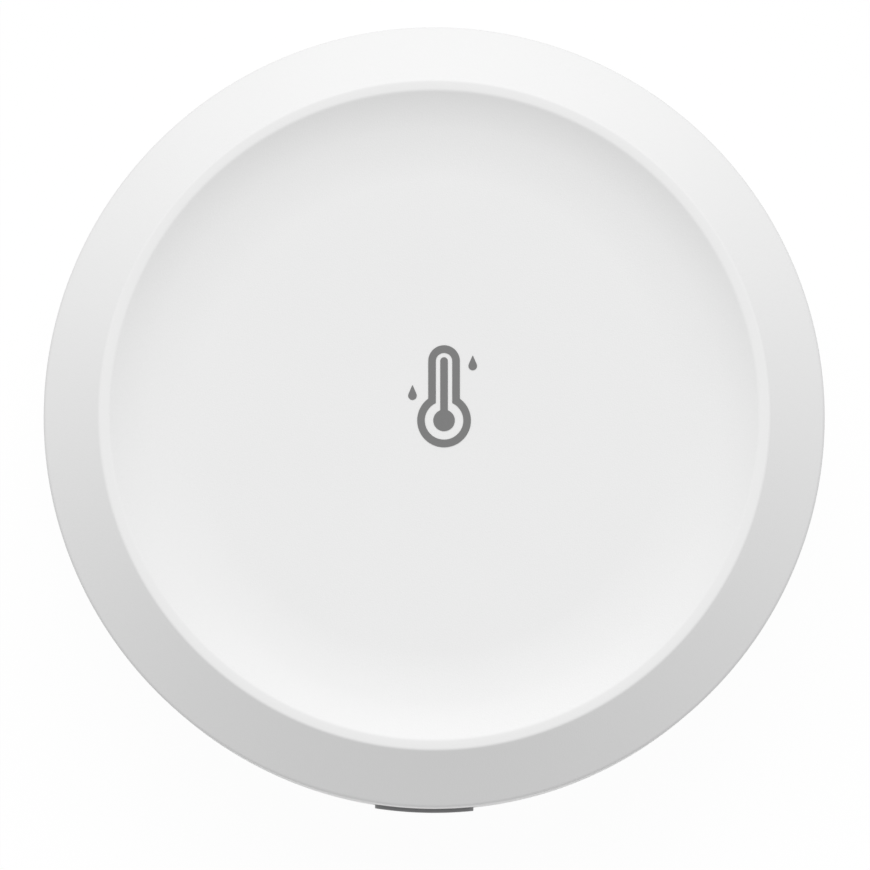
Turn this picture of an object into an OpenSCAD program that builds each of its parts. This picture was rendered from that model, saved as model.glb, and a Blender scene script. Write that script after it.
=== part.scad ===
// Round temperature and humidity sensor for a wall or a shelf.
// The back lies on z = 0, the face looks along +Z, and the symbol's top points along +Y.
// The rear cover stays on the wall; the housing twists off it to change the two AAA cells.

/* [Housing] */
// Outside diameter of the housing
housing_d = 62; // [60:0.5:70]
// Thickness of the side wall
side_wall = 2; // [1.6:0.1:2.4]
// Thickness of the face under the dish
face_wall = 1.8; // [1.4:0.1:2.4]
// Radial width of the sloping bevel round the face
bevel_w = 4.5; // [3.6:0.1:5]
// Slope of the bevel, in degrees from the plane of the face
bevel_slope = 40; // [32:1:44]
// Radial width of the flat lip between the bevel and the dish
lip_w = 0.8; // [0.6:0.05:1.4]
// Radial run of the dish's curved wall, from the flat floor to the lip
dish_run = 7.05; // [6:0.05:9]
// Radius of the dish's wall where it leaves the floor
dish_foot_r = 24; // [18:1:32]
// Radial run of the tighter part of the wall, next to the lip
dish_rim_run = 3.05; // [2:0.05:4]
// Radius of the tighter part of the wall
dish_rim_r = 11; // [9:0.5:14]
// Chamfer on the rear edge of the side wall
rear_chamfer = 0.4; // [0.2:0.1:0.8]

/* [Air vents] */
// Number of slots in each of the two groups
vent_count = 5; // [3:1:6]
// Width of a slot
vent_w = 1.2; // [0.8:0.1:1.6]
// Length of a slot along the housing's axis
vent_l = 7; // [4:0.2:9]
// Angle from one slot to the next, in degrees
vent_pitch = 5.5; // [4.5:0.25:6]
// Angle of each group's middle from the key's side, in degrees
vent_angle = 60; // [52:1:68]

/* [Rear cover] */
// Thickness of the cover's plate
cover_t = 1.8; // [1.4:0.1:2.4]
// How far the cover's edge stays inside the housing's outside
cover_inset = 0.4; // [0.2:0.1:0.8]
// Chamfer on the cover's outer edge
cover_chamfer = 0.6; // [0.3:0.1:1]
// Gap that shows between the cover and the housing
seam = 0.25; // [0.15:0.05:0.4]
// Wall of the ring that stands up inside the housing
spigot_t = 1.4; // [1:0.1:1.8]
// Outside diameter of the ring that keeps the cells in
hold_d = 26; // [20:1:34]
// Wall of the ring that keeps the cells in
hold_t = 1.4; // [1:0.1:2]
// Radius of the grip scallops
scallop_r = 0.9; // [0.6:0.1:1]
// Depth of the grip scallops
scallop_depth = 0.4; // [0.2:0.05:0.5]
// Number of scallops in each of the two grips
scallop_count = 9; // [5:2:13]
// Angle from one scallop to the next, in degrees
scallop_pitch = 4; // [3.6:0.2:5]
// Radius of the index notches, which show whether the housing is locked or open
index_r = 0.8; // [0.5:0.1:1]
// Depth of the index notches, inwards from the edge
index_depth = 0.6; // [0.3:0.1:0.9]
// Angle of the locked index notch from the +X side, in degrees
index_angle = 50; // [40:1:55]

/* [Bayonet] */
// Turn from locked to open, in degrees
twist = 20; // [19:1:24]
// Radial reach of each tab and lug
lug_reach = 1.2; // [0.8:0.1:1.6]
// Thickness of each tab and lug along the axis
lug_t = 1.2; // [1:0.1:1.6]
// Angle that each tab and lug spans, in degrees
lug_span = 14; // [10:1:18]
// Angle that each stop spans, in degrees
stop_span = 2.2; // [1.6:0.1:3]
// Gap between a locked lug and its stop, in degrees
stop_gap = 0.4; // [0.2:0.1:0.8]
// Running clearance round the lugs
twist_gap = 0.2; // [0.1:0.05:0.3]

/* [Adhesive disc] */
// Diameter of the double-sided adhesive disc
disc_d = 40; // [30:1:46]
// Thickness of the disc
disc_t = 1; // [0.6:0.1:1.6]
// Depth of the cover's recess for the disc
disc_recess = 0.4; // [0.2:0.1:0.5]
// Gap round the disc in its recess
disc_gap = 0.15; // [0.05:0.05:0.3]

/* [AAA cells] */
// Diameter of a cell
cell_d = 10.3; // [9.8:0.1:10.6]
// Length of a cell over its nub
cell_l = 44.5; // [43.5:0.1:45.2]
// Diameter of the nub
nub_d = 3.8; // [3:0.1:4.4]
// Height of the nub
nub_l = 0.8; // [0.6:0.1:1.2]
// Chamfer on a cell's rims
cell_chamfer = 0.4; // [0.2:0.1:0.8]
// Gap between the two cells
cell_split = 0.5; // [0.3:0.1:1.2]
// Gap between the cells and the tray
cell_gap = 0.2; // [0.1:0.05:0.4]
// Gap between the cells and the cover's rings
cell_rest_gap = 0.3; // [0.2:0.05:0.6]

/* [Battery tray] */
// Thickness of the tray's walls
tray_wall = 1.2; // [0.9:0.1:1.5]
// Thickness of the tray's floor
tray_floor_t = 1.2; // [0.9:0.1:1.6]
// Width of the rib between the cells
divider_w = 1.2; // [0.8:0.1:1.6]
// Height of the rib between the cells
divider_h = 1.6; // [0.8:0.1:2]
// Radius of the screw ears
ear_r = 3.2; // [2.6:0.1:3.4]
// Gap between the tray and the side wall
tray_gap = 0.3; // [0.2:0.05:0.6]
// Gap between the tray and the cover's ring
spigot_room = 0.35; // [0.2:0.05:0.6]

/* [Contacts] */
// Thickness of the sheet metal
contact_t = 0.3; // [0.2:0.05:0.4]
// Width of a contact for one cell
contact_w = 7; // [6:0.2:8]
// Room at a cell's positive end, which the bump fills
positive_room = 0.8; // [0.6:0.1:1.2]
// Room at a cell's negative end, which the bowed spring fills
negative_room = 2.2; // [1.8:0.1:2.4]
// Diameter of the bump
bump_d = 3; // [2.4:0.1:3.6]
// Width of the bowed spring
bow_w = 5; // [3:0.2:5.2]
// Height of the bowed spring
bow_h = 4.4; // [4:0.1:5]
// Width of a solder tail
tail_w = 1.4; // [1:0.1:2]
// How far a solder tail is folded in from the end wall
tail_in = 3; // [2:0.1:4]
// How far a solder tail stands out of the board
tail_out = 0.5; // [0.2:0.1:0.8]
// Gap round a solder tail in its slots
tail_gap = 0.15; // [0.1:0.05:0.3]

/* [Circuit board] */
// Thickness of the board
board_t = 1; // [0.8:0.1:1.6]
// Height of the tray's pads under the board
board_pad_h = 0.7; // [0.4:0.1:1.2]
// Room between the board and the face
face_room = 1.2; // [1:0.1:2]
// Gap between the board's edge and the side wall
board_margin = 2; // [1.5:0.1:2.4]
// Room between the pressed key and the board's cut edge
board_key_gap = 0.9; // [0.4:0.1:1.2]
// Diameter of the pads and posts that clamp the board
clamp_d = 3; // [2.4:0.1:3.6]
// Distance of the pads from the middle, along X
clamp_x = 16.5; // [15:0.5:17.5]
// Distance of the pads from the middle, along Y
clamp_y = 8; // [6:0.5:9]

/* [Radio] */
// Length of the radio board
radio_w = 15; // [13:0.5:16]
// Width of the radio board
radio_l = 10; // [9:0.5:12]
// Thickness of the radio board
radio_t = 0.8; // [0.6:0.1:1]
// Gap between the radio board and the tray
radio_gap = 0.8; // [0.4:0.1:1]
// Bare end of the radio board, which holds its antenna
antenna_w = 4; // [3:0.1:5.6]
// Height of the shield
shield_h = 1.9; // [1.6:0.1:2.4]
// Thickness of the shield's sheet
shield_t = 0.2; // [0.15:0.05:0.3]
// Bare edge of the radio board beside the shield
shield_margin = 0.6; // [0.3:0.1:1]
// Side of the square radio chip
radio_chip_w = 5; // [4:0.1:6]
// Height of the radio chip
radio_chip_h = 0.9; // [0.6:0.1:1.2]

/* [Sensor] */
// Side of the square sensor package
sensor_w = 3; // [2:0.1:3.4]
// Height of the package
sensor_h = 1; // [0.7:0.1:1.4]
// Place of the sensor along X
sensor_x = 8; // [7:0.1:8.4]
// Distance of the sensor's middle from the board's cut edge
sensor_inset = 4.85; // [4.4:0.05:5.4]
// Diameter of the package's air hole
sensor_hole_d = 1; // [0.6:0.1:1.4]
// Depth of the air hole
sensor_hole_depth = 0.4; // [0.2:0.1:0.6]
// Width of the slits beside the sensor, which keep the board's heat from it
slit_w = 1; // [0.6:0.1:1.2]
// Board left between the sensor and each slit
slit_gap = 1; // [0.6:0.1:1.2]
// How far the slits run past the sensor
slit_past = 0.9; // [0.4:0.1:1.4]

/* [Small parts on the board] */
// Diameter of the supply capacitor
capacitor_d = 5; // [4:0.1:5.4]
// Height of the capacitor
capacitor_h = 5.4; // [4:0.1:6]
// Place of the capacitor along X
capacitor_x = -5.5; // [-6:0.1:-5]
// Height of the capacitor's base
capacitor_base_h = 0.8; // [0.5:0.1:1.2]
// How much wider the base is than the capacitor
capacitor_base_extra = 0.3; // [0.1:0.05:0.6]
// Width, depth and height of the power chip
power_chip_size = [2.9, 1.6, 0.9]; // [0.5:0.1:3]
// Place of the power chip along X and Y
power_chip_at = [-8, -3]; // [-10:0.5:-3]
// Width, depth and height of each small chip part
chip_size = [1.6, 0.8, 0.5]; // [0.4:0.1:2]
// Number of small chip parts in a row
chip_count = 5; // [3:1:6]
// Distance from one chip part to the next
chip_pitch = 3; // [2.4:0.1:4]
// Place of the first row of chip parts along Y
chip_row_y = 5; // [3:0.1:6]
// Distance between the two rows of chip parts
chip_row_gap = 2.4; // [1.6:0.1:3]

/* [Status light] */
// Width, depth and height of the light
led_size = [1.6, 0.8, 0.6]; // [0.4:0.1:2]
// Place of the light along Y
led_y = -6; // [-9:0.5:-4]
// Diameter of the light guide
guide_d = 3; // [2.4:0.1:4]
// Thickness of the face left over the light guide
led_skin = 0.7; // [0.5:0.05:1]

/* [Case screws] */
// Thread diameter of the screws
screw_d = 2; // [1.6:0.1:2.4]
// Length of the screws under the head
screw_l = 4.8; // [4:0.1:5.2]
// Diameter of the screw heads
head_d = 3.8; // [3.4:0.1:4.4]
// Height of the screw heads
head_h = 1.4; // [1:0.1:1.6]
// Length of each arm of the cross recess
cross_l = 2.3; // [1.8:0.1:2.8]
// Width of the cross recess
cross_w = 0.6; // [0.4:0.1:0.8]
// Depth of the cross recess
cross_depth = 0.8; // [0.5:0.1:0.9]
// Distance of the screws from the board's edge
screw_inset = 4.5; // [4:0.1:5]
// Angle of the screws from the X axis, in degrees
screw_angle = 50; // [46:1:54]
// Outside diameter of the screw bosses
boss_d = 4.4; // [4:0.1:5]
// Gap round a boss in the board and round a screw in its ear
boss_gap = 0.2; // [0.1:0.05:0.3]
// Gap between a screw's thread and its pilot hole
screw_gap = 0.025; // [0.01:0.005:0.05]
// Room past a screw's tip
tip_room = 0.3; // [0.2:0.1:0.5]

/* [Pairing key] */
// Width of the key
key_w = 7.9; // [6:0.1:9]
// Height of the key along the housing's axis
key_h = 2.4; // [2:0.1:2.8]
// Corner radius of the key
key_corner = 0.7; // [0.4:0.1:0.9]
// How far the key stands out of the side wall
key_proud = 0.3; // [0.2:0.05:0.6]
// Travel of the key
key_travel = 0.4; // [0.2:0.05:0.5]
// Offset of the key from the middle of the lower edge
key_shift = -0.8; // [-1.5:0.1:1.5]
// Gap round the key in its slot
key_gap = 0.15; // [0.1:0.05:0.2]
// Thickness of the flange that keeps the key in
flange_t = 1.2; // [0.8:0.1:1.4]
// Overlap of the flange past the slot's edges
flange_lap = 0.35; // [0.2:0.05:0.5]
// Gap between the flange and the side wall
flange_gap = 0.15; // [0.1:0.05:0.3]
// Gap between the flange and the cover's ring
flange_ring_gap = 0.45; // [0.3:0.05:0.8]
// Width of the arm that runs up from the flange to the switch
arm_w = 5; // [4:0.2:6]
// Length of the stem behind the flange
stem_l = 1.2; // [0.8:0.1:1.6]
// Width of the stem
stem_w = 3; // [2:0.1:4]
// Height of the stem
stem_h = 1.2; // [0.9:0.1:1.6]

/* [Key switch] */
// Width of the switch
switch_w = 4.7; // [4:0.1:6]
// Depth of the switch
switch_depth = 3.5; // [3:0.1:4]
// Height of the switch
switch_h = 1.9; // [1.7:0.1:2.2]
// Width of the plunger
plunger_w = 2; // [1.4:0.1:2.6]
// Height of the plunger
plunger_h = 1; // [0.7:0.1:1.2]
// How far the plunger stands out of the switch
plunger_l = 1.2; // [0.8:0.1:1.6]
// How far the plunger reaches into the switch
plunger_tail = 0.8; // [0.5:0.1:1.2]

/* [Symbol] */
// Place of the bulb's middle on the dish, along X and Y
symbol_at = [0.78, -0.41]; // [-3:0.05:3]
// Outside diameter of the thermometer's bulb
bulb_d = 4.25; // [3.6:0.05:5]
// Outside width of the thermometer's tube
tube_d = 2.5; // [2.2:0.1:3]
// Height of the tube's top above the bulb's middle
tube_top = 5.95; // [5.5:0.05:7]
// Width of the outline and of the filled column
stroke = 0.6; // [0.4:0.05:0.65]
// Diameter of the filled bulb
fill_d = 1.7; // [1.4:0.1:2.2]
// Height of the filled column above the bulb's middle
fill_top = 5; // [3:0.05:5.1]
// Width of a water drop
drop_w = 0.68; // [0.5:0.02:0.9]
// Height of a water drop
drop_h = 1.15; // [1:0.05:1.6]
// Place of the left drop from the bulb's middle, along X and Y
left_drop_at = [-2.5, 2.2]; // [-3:0.05:6]
// Place of the right drop from the bulb's middle, along X and Y
right_drop_at = [2.27, 4.55]; // [-3:0.05:6]
// Thickness of the printed ink
ink_t = 0.05; // [0.03:0.01:0.1]

/* [Hidden] */
$fn = 128;

// How far a cut runs past the face it opens, how far joined shapes run into each other,
// and the gap between small pieces that slide or nearly touch
past = 1;
overlap = 0.2;
fit = 0.05;

// Radii, from the outside in
housing_r = housing_d / 2;
bore_r = housing_r - side_wall;
lip_out_r = housing_r - bevel_w;
lip_in_r = lip_out_r - lip_w;
dish_flat_r = lip_in_r - dish_run;
dish_blend_r = lip_in_r - dish_rim_run;
foot_sweep = asin((dish_blend_r - dish_flat_r) / dish_foot_r);
rim_sweep = asin(sin(foot_sweep) + dish_rim_run / dish_rim_r);
dish_depth = dish_foot_r * (1 - cos(foot_sweep)) + dish_rim_r * (cos(foot_sweep) - cos(rim_sweep));
tab_in_r = bore_r - lug_reach;
lug_out_r = bore_r - twist_gap;
spigot_out_r = tab_in_r - twist_gap;
spigot_in_r = spigot_out_r - spigot_t;
cover_r = housing_r - cover_inset;
board_r = bore_r - board_margin;
screw_r = board_r - screw_inset;

// Heights, from the wall outwards
z_cover = disc_t - disc_recess;
z_cover_in = z_cover + cover_t;
z_rear = z_cover_in + seam;
z_tab_top = z_rear + lug_t;
z_lug = z_tab_top + twist_gap;
z_spigot_top = z_lug + lug_t;
z_tray_rear = z_spigot_top + spigot_room;
z_cell = z_spigot_top + cell_rest_gap + cell_d / 2;
z_tray_floor = z_cell + cell_d / 2 + cell_gap;
z_tray_top = z_tray_floor + tray_floor_t;
z_board = z_tray_top + board_pad_h;
z_board_top = z_board + board_t;
z_face_in = z_board_top + face_room;
z_floor = z_face_in + face_wall;
z_lip = z_floor + dish_depth;
z_shoulder = z_lip - bevel_w * tan(bevel_slope);
z_bore_top = z_shoulder - side_wall * (1 - sin(bevel_slope)) / cos(bevel_slope);
z_vent = (z_spigot_top + z_board) / 2;

// The battery bay
cell_y = (cell_d + cell_split) / 2;
bay_x = (cell_l + positive_room + negative_room) / 2;
bay_y = cell_y + cell_d / 2 + cell_gap;
bay_out_x = bay_x + tray_wall;
bay_out_y = bay_y + tray_wall;
z_plate_top = z_tray_floor - fit;
tail_y = (contact_w - tail_w) / 2;

// The key's chain, from the side wall inwards
flange_out_r = bore_r - flange_gap;
flange_in_r = flange_out_r - flange_t;
stem_tip_y = flange_in_r - stem_l;
switch_face_y = stem_tip_y - plunger_l;
board_edge_y = flange_in_r - key_travel - board_key_gap;
flange_w = key_w + 2 * (key_gap + flange_lap);
flange_h = key_h + 2 * (key_gap + flange_lap);
z_key = z_spigot_top + flange_ring_gap + flange_h / 2;
z_switch = z_board - switch_h / 2;

// Places of the pieces that repeat, and of the pieces on the board
tab_angles = [90, 210, 330];
grip_angles = [0, 180];
screw_places = [
    for (x = [-1, 1], y = [-1, 1]) [x * screw_r * cos(screw_angle), y * screw_r * sin(screw_angle)]
];
clamp_places = [for (x = [-1, 1], y = [-1, 1]) [x * clamp_x, y * clamp_y]];
radio_at = [0, bay_out_y + radio_gap + radio_l / 2];
shield_w = radio_w - antenna_w - shield_margin;
shield_at = [(shield_w - radio_w) / 2 + shield_margin, radio_at[1]];
sensor_y = sensor_inset - board_edge_y;
sensor_at = [sensor_x, sensor_y];
capacitor_at = [capacitor_x, -bay_out_y - radio_gap - capacitor_d / 2];
led_at = [0, led_y];

// Shapes that several pieces share

module rounded_bar(w, h, r) {
    square([w - 2 * r, h], center = true);
    square([w, h - 2 * r], center = true);
    for (x = [-1, 1], y = [-1, 1])
        translate([x * (w / 2 - r), y * (h / 2 - r)]) circle(r);
}

module sector(r_in, r_out, z0, z1, from, span) {
    rotate([0, 0, from])
        rotate_extrude(angle = span)
            translate([r_in, z0]) square([r_out - r_in, z1 - z0]);
}

// A hole through the side wall at the lower edge, with its outline across the hole
module wall_hole(x, z) {
    translate([x, -flange_in_r, z])
        rotate([90, 0, 0])
            linear_extrude(housing_r - flange_in_r + past)
                children();
}

// A half-round notch across an edge of radius r at height z
module index_notch(r, z, angle) {
    rotate([0, 0, angle])
        translate([r - index_depth, 0, z])
            rotate([0, 90, 0]) cylinder(r = index_r, h = index_depth + past);
}

module on_rear_of(z, at, size) {
    translate([at[0], at[1], z - size[2] / 2]) cube(size, center = true);
}

module on_front_of(z, at, size) {
    translate([at[0], at[1], z + size[2] / 2]) cube(size, center = true);
}

// Front shell: bevel, lip, dish and side wall in one moulding

module shell_outline() {
    polygon([
        [0, z_rear], [housing_r - rear_chamfer, z_rear], [housing_r, z_rear + rear_chamfer],
        [housing_r, z_shoulder], [lip_out_r, z_lip], [0, z_lip]
    ]);
}

// A flat floor, then two arcs that run into each other without a corner
module dish_outline() {
    radius_step = dish_foot_r - dish_rim_r;
    rim_mid = [
        dish_flat_r + radius_step * sin(foot_sweep),
        z_floor + dish_foot_r - radius_step * cos(foot_sweep)
    ];
    translate([0, z_floor]) square([dish_flat_r, dish_depth + past]);
    intersection() {
        translate([dish_flat_r, z_floor + dish_foot_r]) circle(dish_foot_r);
        translate([dish_flat_r - overlap, z_floor])
            square([dish_blend_r - dish_flat_r + overlap, dish_depth + past]);
    }
    intersection() {
        translate(rim_mid) circle(dish_rim_r);
        translate([dish_blend_r, z_floor]) square([dish_rim_run, dish_depth + past]);
    }
}

module cavity_outline() {
    bevel_in_r = lip_out_r - side_wall * sin(bevel_slope);
    bevel_in_z = z_lip - side_wall * cos(bevel_slope);
    difference() {
        polygon([
            [0, z_rear - past], [bore_r, z_rear - past], [bore_r, z_bore_top],
            [bevel_in_r, bevel_in_z], [0, bevel_in_z]
        ]);
        translate([-past, z_face_in]) square([dish_flat_r + past, z_lip]);
        intersection() {
            translate([dish_flat_r, z_floor + dish_foot_r]) circle(dish_foot_r + face_wall);
            translate([dish_flat_r - overlap, z_rear]) square([housing_r, z_lip]);
        }
    }
}

module bayonet_tabs() {
    stop_from = lug_span + stop_gap;
    for (a = tab_angles) {
        first = a - lug_span / 2;
        sector(tab_in_r, housing_r, z_rear - past, z_tab_top, first, stop_from + stop_span + stop_gap);
        sector(tab_in_r, housing_r, z_tab_top - overlap, z_spigot_top, first + stop_from, stop_span);
    }
}

module screw_bosses() {
    for (p = screw_places)
        translate([p[0], p[1], z_tray_top]) cylinder(d = boss_d, h = z_lip - z_tray_top);
}

module board_posts() {
    for (p = clamp_places)
        translate([p[0], p[1], z_board_top]) cylinder(d = clamp_d, h = z_lip - z_board_top);
}

module screw_pilots() {
    pilot_l = screw_l - tray_floor_t + tip_room;
    for (p = screw_places)
        translate([p[0], p[1], z_tray_top - past])
            cylinder(d = screw_d + 2 * screw_gap, h = pilot_l + past);
}

module key_slot() {
    wall_hole(key_shift, z_key)
        rounded_bar(key_w + 2 * key_gap, key_h + 2 * key_gap, key_corner + key_gap);
}

module vents() {
    for (side = [-1, 1], i = [0 : vent_count - 1])
        rotate([0, 0, side * vent_angle + (i - (vent_count - 1) / 2) * vent_pitch])
            wall_hole(0, z_vent) {
                square([vent_w, vent_l - vent_w], center = true);
                for (y = [-1, 1])
                    translate([0, y * (vent_l - vent_w) / 2]) circle(d = vent_w);
            }
}

module guide_pocket() {
    translate([led_at[0], led_at[1], z_face_in - past])
        cylinder(d = guide_d + 2 * fit, h = face_wall - led_skin + past);
}

module front_shell() {
    color("whitesmoke")
    difference() {
        rotate_extrude()
            difference() {
                shell_outline();
                dish_outline();
            }
        difference() {
            rotate_extrude() cavity_outline();
            bayonet_tabs();
            screw_bosses();
            board_posts();
        }
        screw_pilots();
        key_slot();
        vents();
        guide_pocket();
        index_notch(housing_r, z_rear, index_angle);
    }
}

// Symbol: a thermometer and two drops in grey ink on the dish's floor

module thermometer_outline(inset) {
    tube_w = tube_d - 2 * inset;
    tube_mid = tube_top - tube_d / 2;
    circle(d = bulb_d - 2 * inset);
    translate([-tube_w / 2, 0]) square([tube_w, tube_mid]);
    translate([0, tube_mid]) circle(d = tube_w);
}

module filled_column() {
    column_mid = fill_top - stroke / 2;
    circle(d = fill_d);
    translate([-stroke / 2, 0]) square([stroke, column_mid]);
    translate([0, column_mid]) circle(d = stroke);
}

// A circle with a point above it, whose sides touch the circle
module drop() {
    r = drop_w / 2;
    point_y = drop_h - r;
    lean = asin(r / point_y);
    translate([0, r - drop_h / 2]) {
        circle(r);
        polygon([[-r * cos(lean), r * sin(lean)], [r * cos(lean), r * sin(lean)], [0, point_y]]);
    }
}

module symbol_print() {
    color("gray")
    translate([symbol_at[0], symbol_at[1], z_floor])
        linear_extrude(ink_t) {
            difference() {
                thermometer_outline(0);
                thermometer_outline(stroke);
            }
            filled_column();
            translate(left_drop_at) drop();
            translate(right_drop_at) drop();
        }
}

// Rear cover: plate, upright ring with bayonet lugs, and a ring that keeps the cells in

module grip_scallops() {
    for (g = grip_angles, i = [0 : scallop_count - 1])
        rotate([0, 0, g + (i - (scallop_count - 1) / 2) * scallop_pitch])
            translate([cover_r + scallop_r - scallop_depth, 0, z_cover - past])
                cylinder(r = scallop_r, h = cover_t + 2 * past);
}

module rear_cover() {
    color("whitesmoke")
    difference() {
        union() {
            rotate_extrude() {
                polygon([
                    [0, z_cover], [cover_r - cover_chamfer, z_cover], [cover_r, z_cover + cover_chamfer],
                    [cover_r, z_cover_in], [spigot_out_r, z_cover_in], [spigot_out_r, z_spigot_top],
                    [spigot_in_r, z_spigot_top], [spigot_in_r, z_cover_in], [0, z_cover_in]
                ]);
                translate([hold_d / 2 - hold_t, z_cover_in - overlap])
                    square([hold_t, z_spigot_top - z_cover_in + overlap]);
            }
            for (a = tab_angles)
                sector(spigot_out_r - overlap, lug_out_r, z_lug, z_spigot_top, a - lug_span / 2, lug_span);
        }
        translate([0, 0, z_cover - past]) cylinder(d = disc_d + 2 * disc_gap, h = disc_recess + past);
        grip_scallops();
        index_notch(cover_r, z_cover_in, index_angle);
        index_notch(cover_r, z_cover_in, index_angle + twist);
    }
}

module adhesive_disc() {
    color("lightgray") cylinder(d = disc_d, h = disc_t);
}

// Battery tray: bay for two cells, screw ears, and pads for the board

module tray_plate() {
    linear_extrude(tray_floor_t) {
        square([2 * bay_out_x, 2 * bay_out_y], center = true);
        for (p = screw_places) {
            translate(p) circle(ear_r);
            translate([p[0], p[1] / 2]) square([2 * ear_r, abs(p[1])], center = true);
        }
    }
}

module tail_slots(z0, z1) {
    slot_w = tail_w + 2 * tail_gap;
    for (side = [-1, 1])
        translate([tail_in - bay_x - tail_gap, side * (cell_y + tail_y) - slot_w / 2, z0])
            cube([contact_t + 2 * tail_gap, slot_w, z1 - z0]);
}

module battery_bay() {
    rib_l = 2 * (bay_x - negative_room);
    difference() {
        translate([-bay_x, -bay_y, z_tray_rear - past])
            cube([2 * bay_x, 2 * bay_y, z_tray_floor - z_tray_rear + past]);
        translate([-rib_l / 2, -divider_w / 2, z_tray_floor - divider_h])
            cube([rib_l, divider_w, divider_h + past]);
    }
}

module battery_tray() {
    color("white")
    intersection() {
        difference() {
            union() {
                translate([-bay_out_x, -bay_out_y, z_tray_rear])
                    cube([2 * bay_out_x, 2 * bay_out_y, z_tray_top - z_tray_rear]);
                translate([0, 0, z_tray_floor]) tray_plate();
                for (p = clamp_places)
                    translate([p[0], p[1], z_tray_floor])
                        cylinder(d = clamp_d, h = z_board - z_tray_floor);
            }
            battery_bay();
            for (p = screw_places)
                translate([p[0], p[1], z_tray_floor - past])
                    cylinder(d = screw_d + 2 * boss_gap, h = tray_floor_t + 2 * past);
            tail_slots(z_tray_floor - past, z_tray_top + past);
        }
        cylinder(r = bore_r - tray_gap, h = z_lip);
    }
}

// AAA cells, lying head to tail along X

module cell(side) {
    cell_r = cell_d / 2;
    rim_r = cell_r - cell_chamfer;
    translate([side * (bay_x - positive_room), side * cell_y, z_cell])
        rotate([0, -90 * side, 0])
            rotate_extrude()
                polygon([
                    [0, 0], [nub_d / 2, 0], [nub_d / 2, nub_l], [rim_r, nub_l],
                    [cell_r, nub_l + cell_chamfer], [cell_r, cell_l - cell_chamfer],
                    [rim_r, cell_l], [0, cell_l]
                ]);
}

module upper_cell() {
    color("goldenrod") cell(1);
}

module lower_cell() {
    color("goldenrod") cell(-1);
}

// Battery contacts, each against an end wall of the bay, with +X towards its cell

module contact_plate(w) {
    translate([0, -w / 2, z_tray_rear]) cube([contact_t, w, z_plate_top - z_tray_rear]);
}

module contact_bump() {
    translate([0, 0, z_cell]) rotate([0, 90, 0]) cylinder(d = bump_d, h = positive_room);
}

module contact_bow() {
    rise = negative_room - fit;
    bow_r = (bow_h * bow_h / 4 + rise * rise) / (2 * rise);
    translate([0, bow_w / 2, z_cell])
        rotate([90, 0, 0])
            linear_extrude(bow_w)
                intersection() {
                    translate([rise - bow_r, 0])
                        difference() {
                            circle(bow_r);
                            circle(bow_r - contact_t);
                        }
                    translate([0, -bow_h]) square([2 * rise, 2 * bow_h]);
                }
}

// A foot folded in along the tray's floor, and a tail up through the board
module solder_tail(side) {
    foot_z = z_plate_top - contact_t;
    translate([0, side * tail_y - tail_w / 2, foot_z]) {
        cube([tail_in + contact_t, tail_w, contact_t]);
        translate([tail_in, 0, 0]) cube([contact_t, tail_w, z_board_top + tail_out - foot_z]);
    }
}

module bridge_contact() {
    color("silver")
    translate([bay_x, 0, 0]) mirror([1, 0, 0]) {
        contact_plate(2 * cell_y + contact_w);
        translate([0, cell_y, 0]) contact_bump();
        translate([0, -cell_y, 0]) contact_bow();
    }
}

module negative_contact() {
    color("silver")
    translate([-bay_x, cell_y, 0]) {
        contact_plate(contact_w);
        contact_bow();
        solder_tail(1);
    }
}

module positive_contact() {
    color("silver")
    translate([-bay_x, -cell_y, 0]) {
        contact_plate(contact_w);
        contact_bump();
        solder_tail(-1);
    }
}

// Circuit board, cut back for the key and slit beside the sensor

module sensor_slits() {
    slit_mid = sensor_w / 2 + slit_gap + slit_w / 2;
    slit_top = sensor_y + sensor_w / 2 + slit_past;
    for (side = [-1, 1])
        translate([sensor_x + side * slit_mid - slit_w / 2, -housing_r, z_board - past])
            cube([slit_w, housing_r + slit_top, board_t + 2 * past]);
}

module circuit_board() {
    color("seagreen")
    difference() {
        intersection() {
            translate([0, 0, z_board]) cylinder(r = board_r, h = board_t);
            translate([-housing_r, -board_edge_y, z_board - past])
                cube([housing_d, board_edge_y + housing_r, board_t + 2 * past]);
        }
        for (p = screw_places)
            translate([p[0], p[1], z_board - past])
                cylinder(d = boss_d + 2 * boss_gap, h = board_t + 2 * past);
        tail_slots(z_board - past, z_board_top + past);
        sensor_slits();
    }
}

// Radio: a small board with its chip under a sheet-metal shield

module radio_board() {
    color("darkgreen") on_rear_of(z_board, radio_at, [radio_w, radio_l, radio_t]);
}

module radio_chip() {
    color("black") on_rear_of(z_board - radio_t, shield_at, [radio_chip_w, radio_chip_w, radio_chip_h]);
}

module radio_shield() {
    shield_l = radio_l - 2 * shield_margin;
    hollow_h = shield_h - shield_t;
    color("silver")
    difference() {
        on_rear_of(z_board - radio_t, shield_at, [shield_w, shield_l, shield_h]);
        on_rear_of(
            z_board - radio_t + past, shield_at,
            [shield_w - 2 * shield_t, shield_l - 2 * shield_t, hollow_h + past]
        );
    }
}

// Sensor, capacitor and chips on the circuit board

module humidity_sensor() {
    color("dimgray")
    difference() {
        on_rear_of(z_board, sensor_at, [sensor_w, sensor_w, sensor_h]);
        translate([sensor_x, sensor_y, z_board - sensor_h - past])
            cylinder(d = sensor_hole_d, h = sensor_hole_depth + past);
    }
}

module supply_capacitor() {
    base_w = capacitor_d + capacitor_base_extra;
    color("silver") {
        on_rear_of(z_board, capacitor_at, [base_w, base_w, capacitor_base_h]);
        translate([capacitor_at[0], capacitor_at[1], z_board - capacitor_h])
            cylinder(d = capacitor_d, h = capacitor_h - capacitor_base_h + overlap);
    }
}

module power_chip() {
    color("black") on_front_of(z_board_top, power_chip_at, power_chip_size);
}

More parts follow.
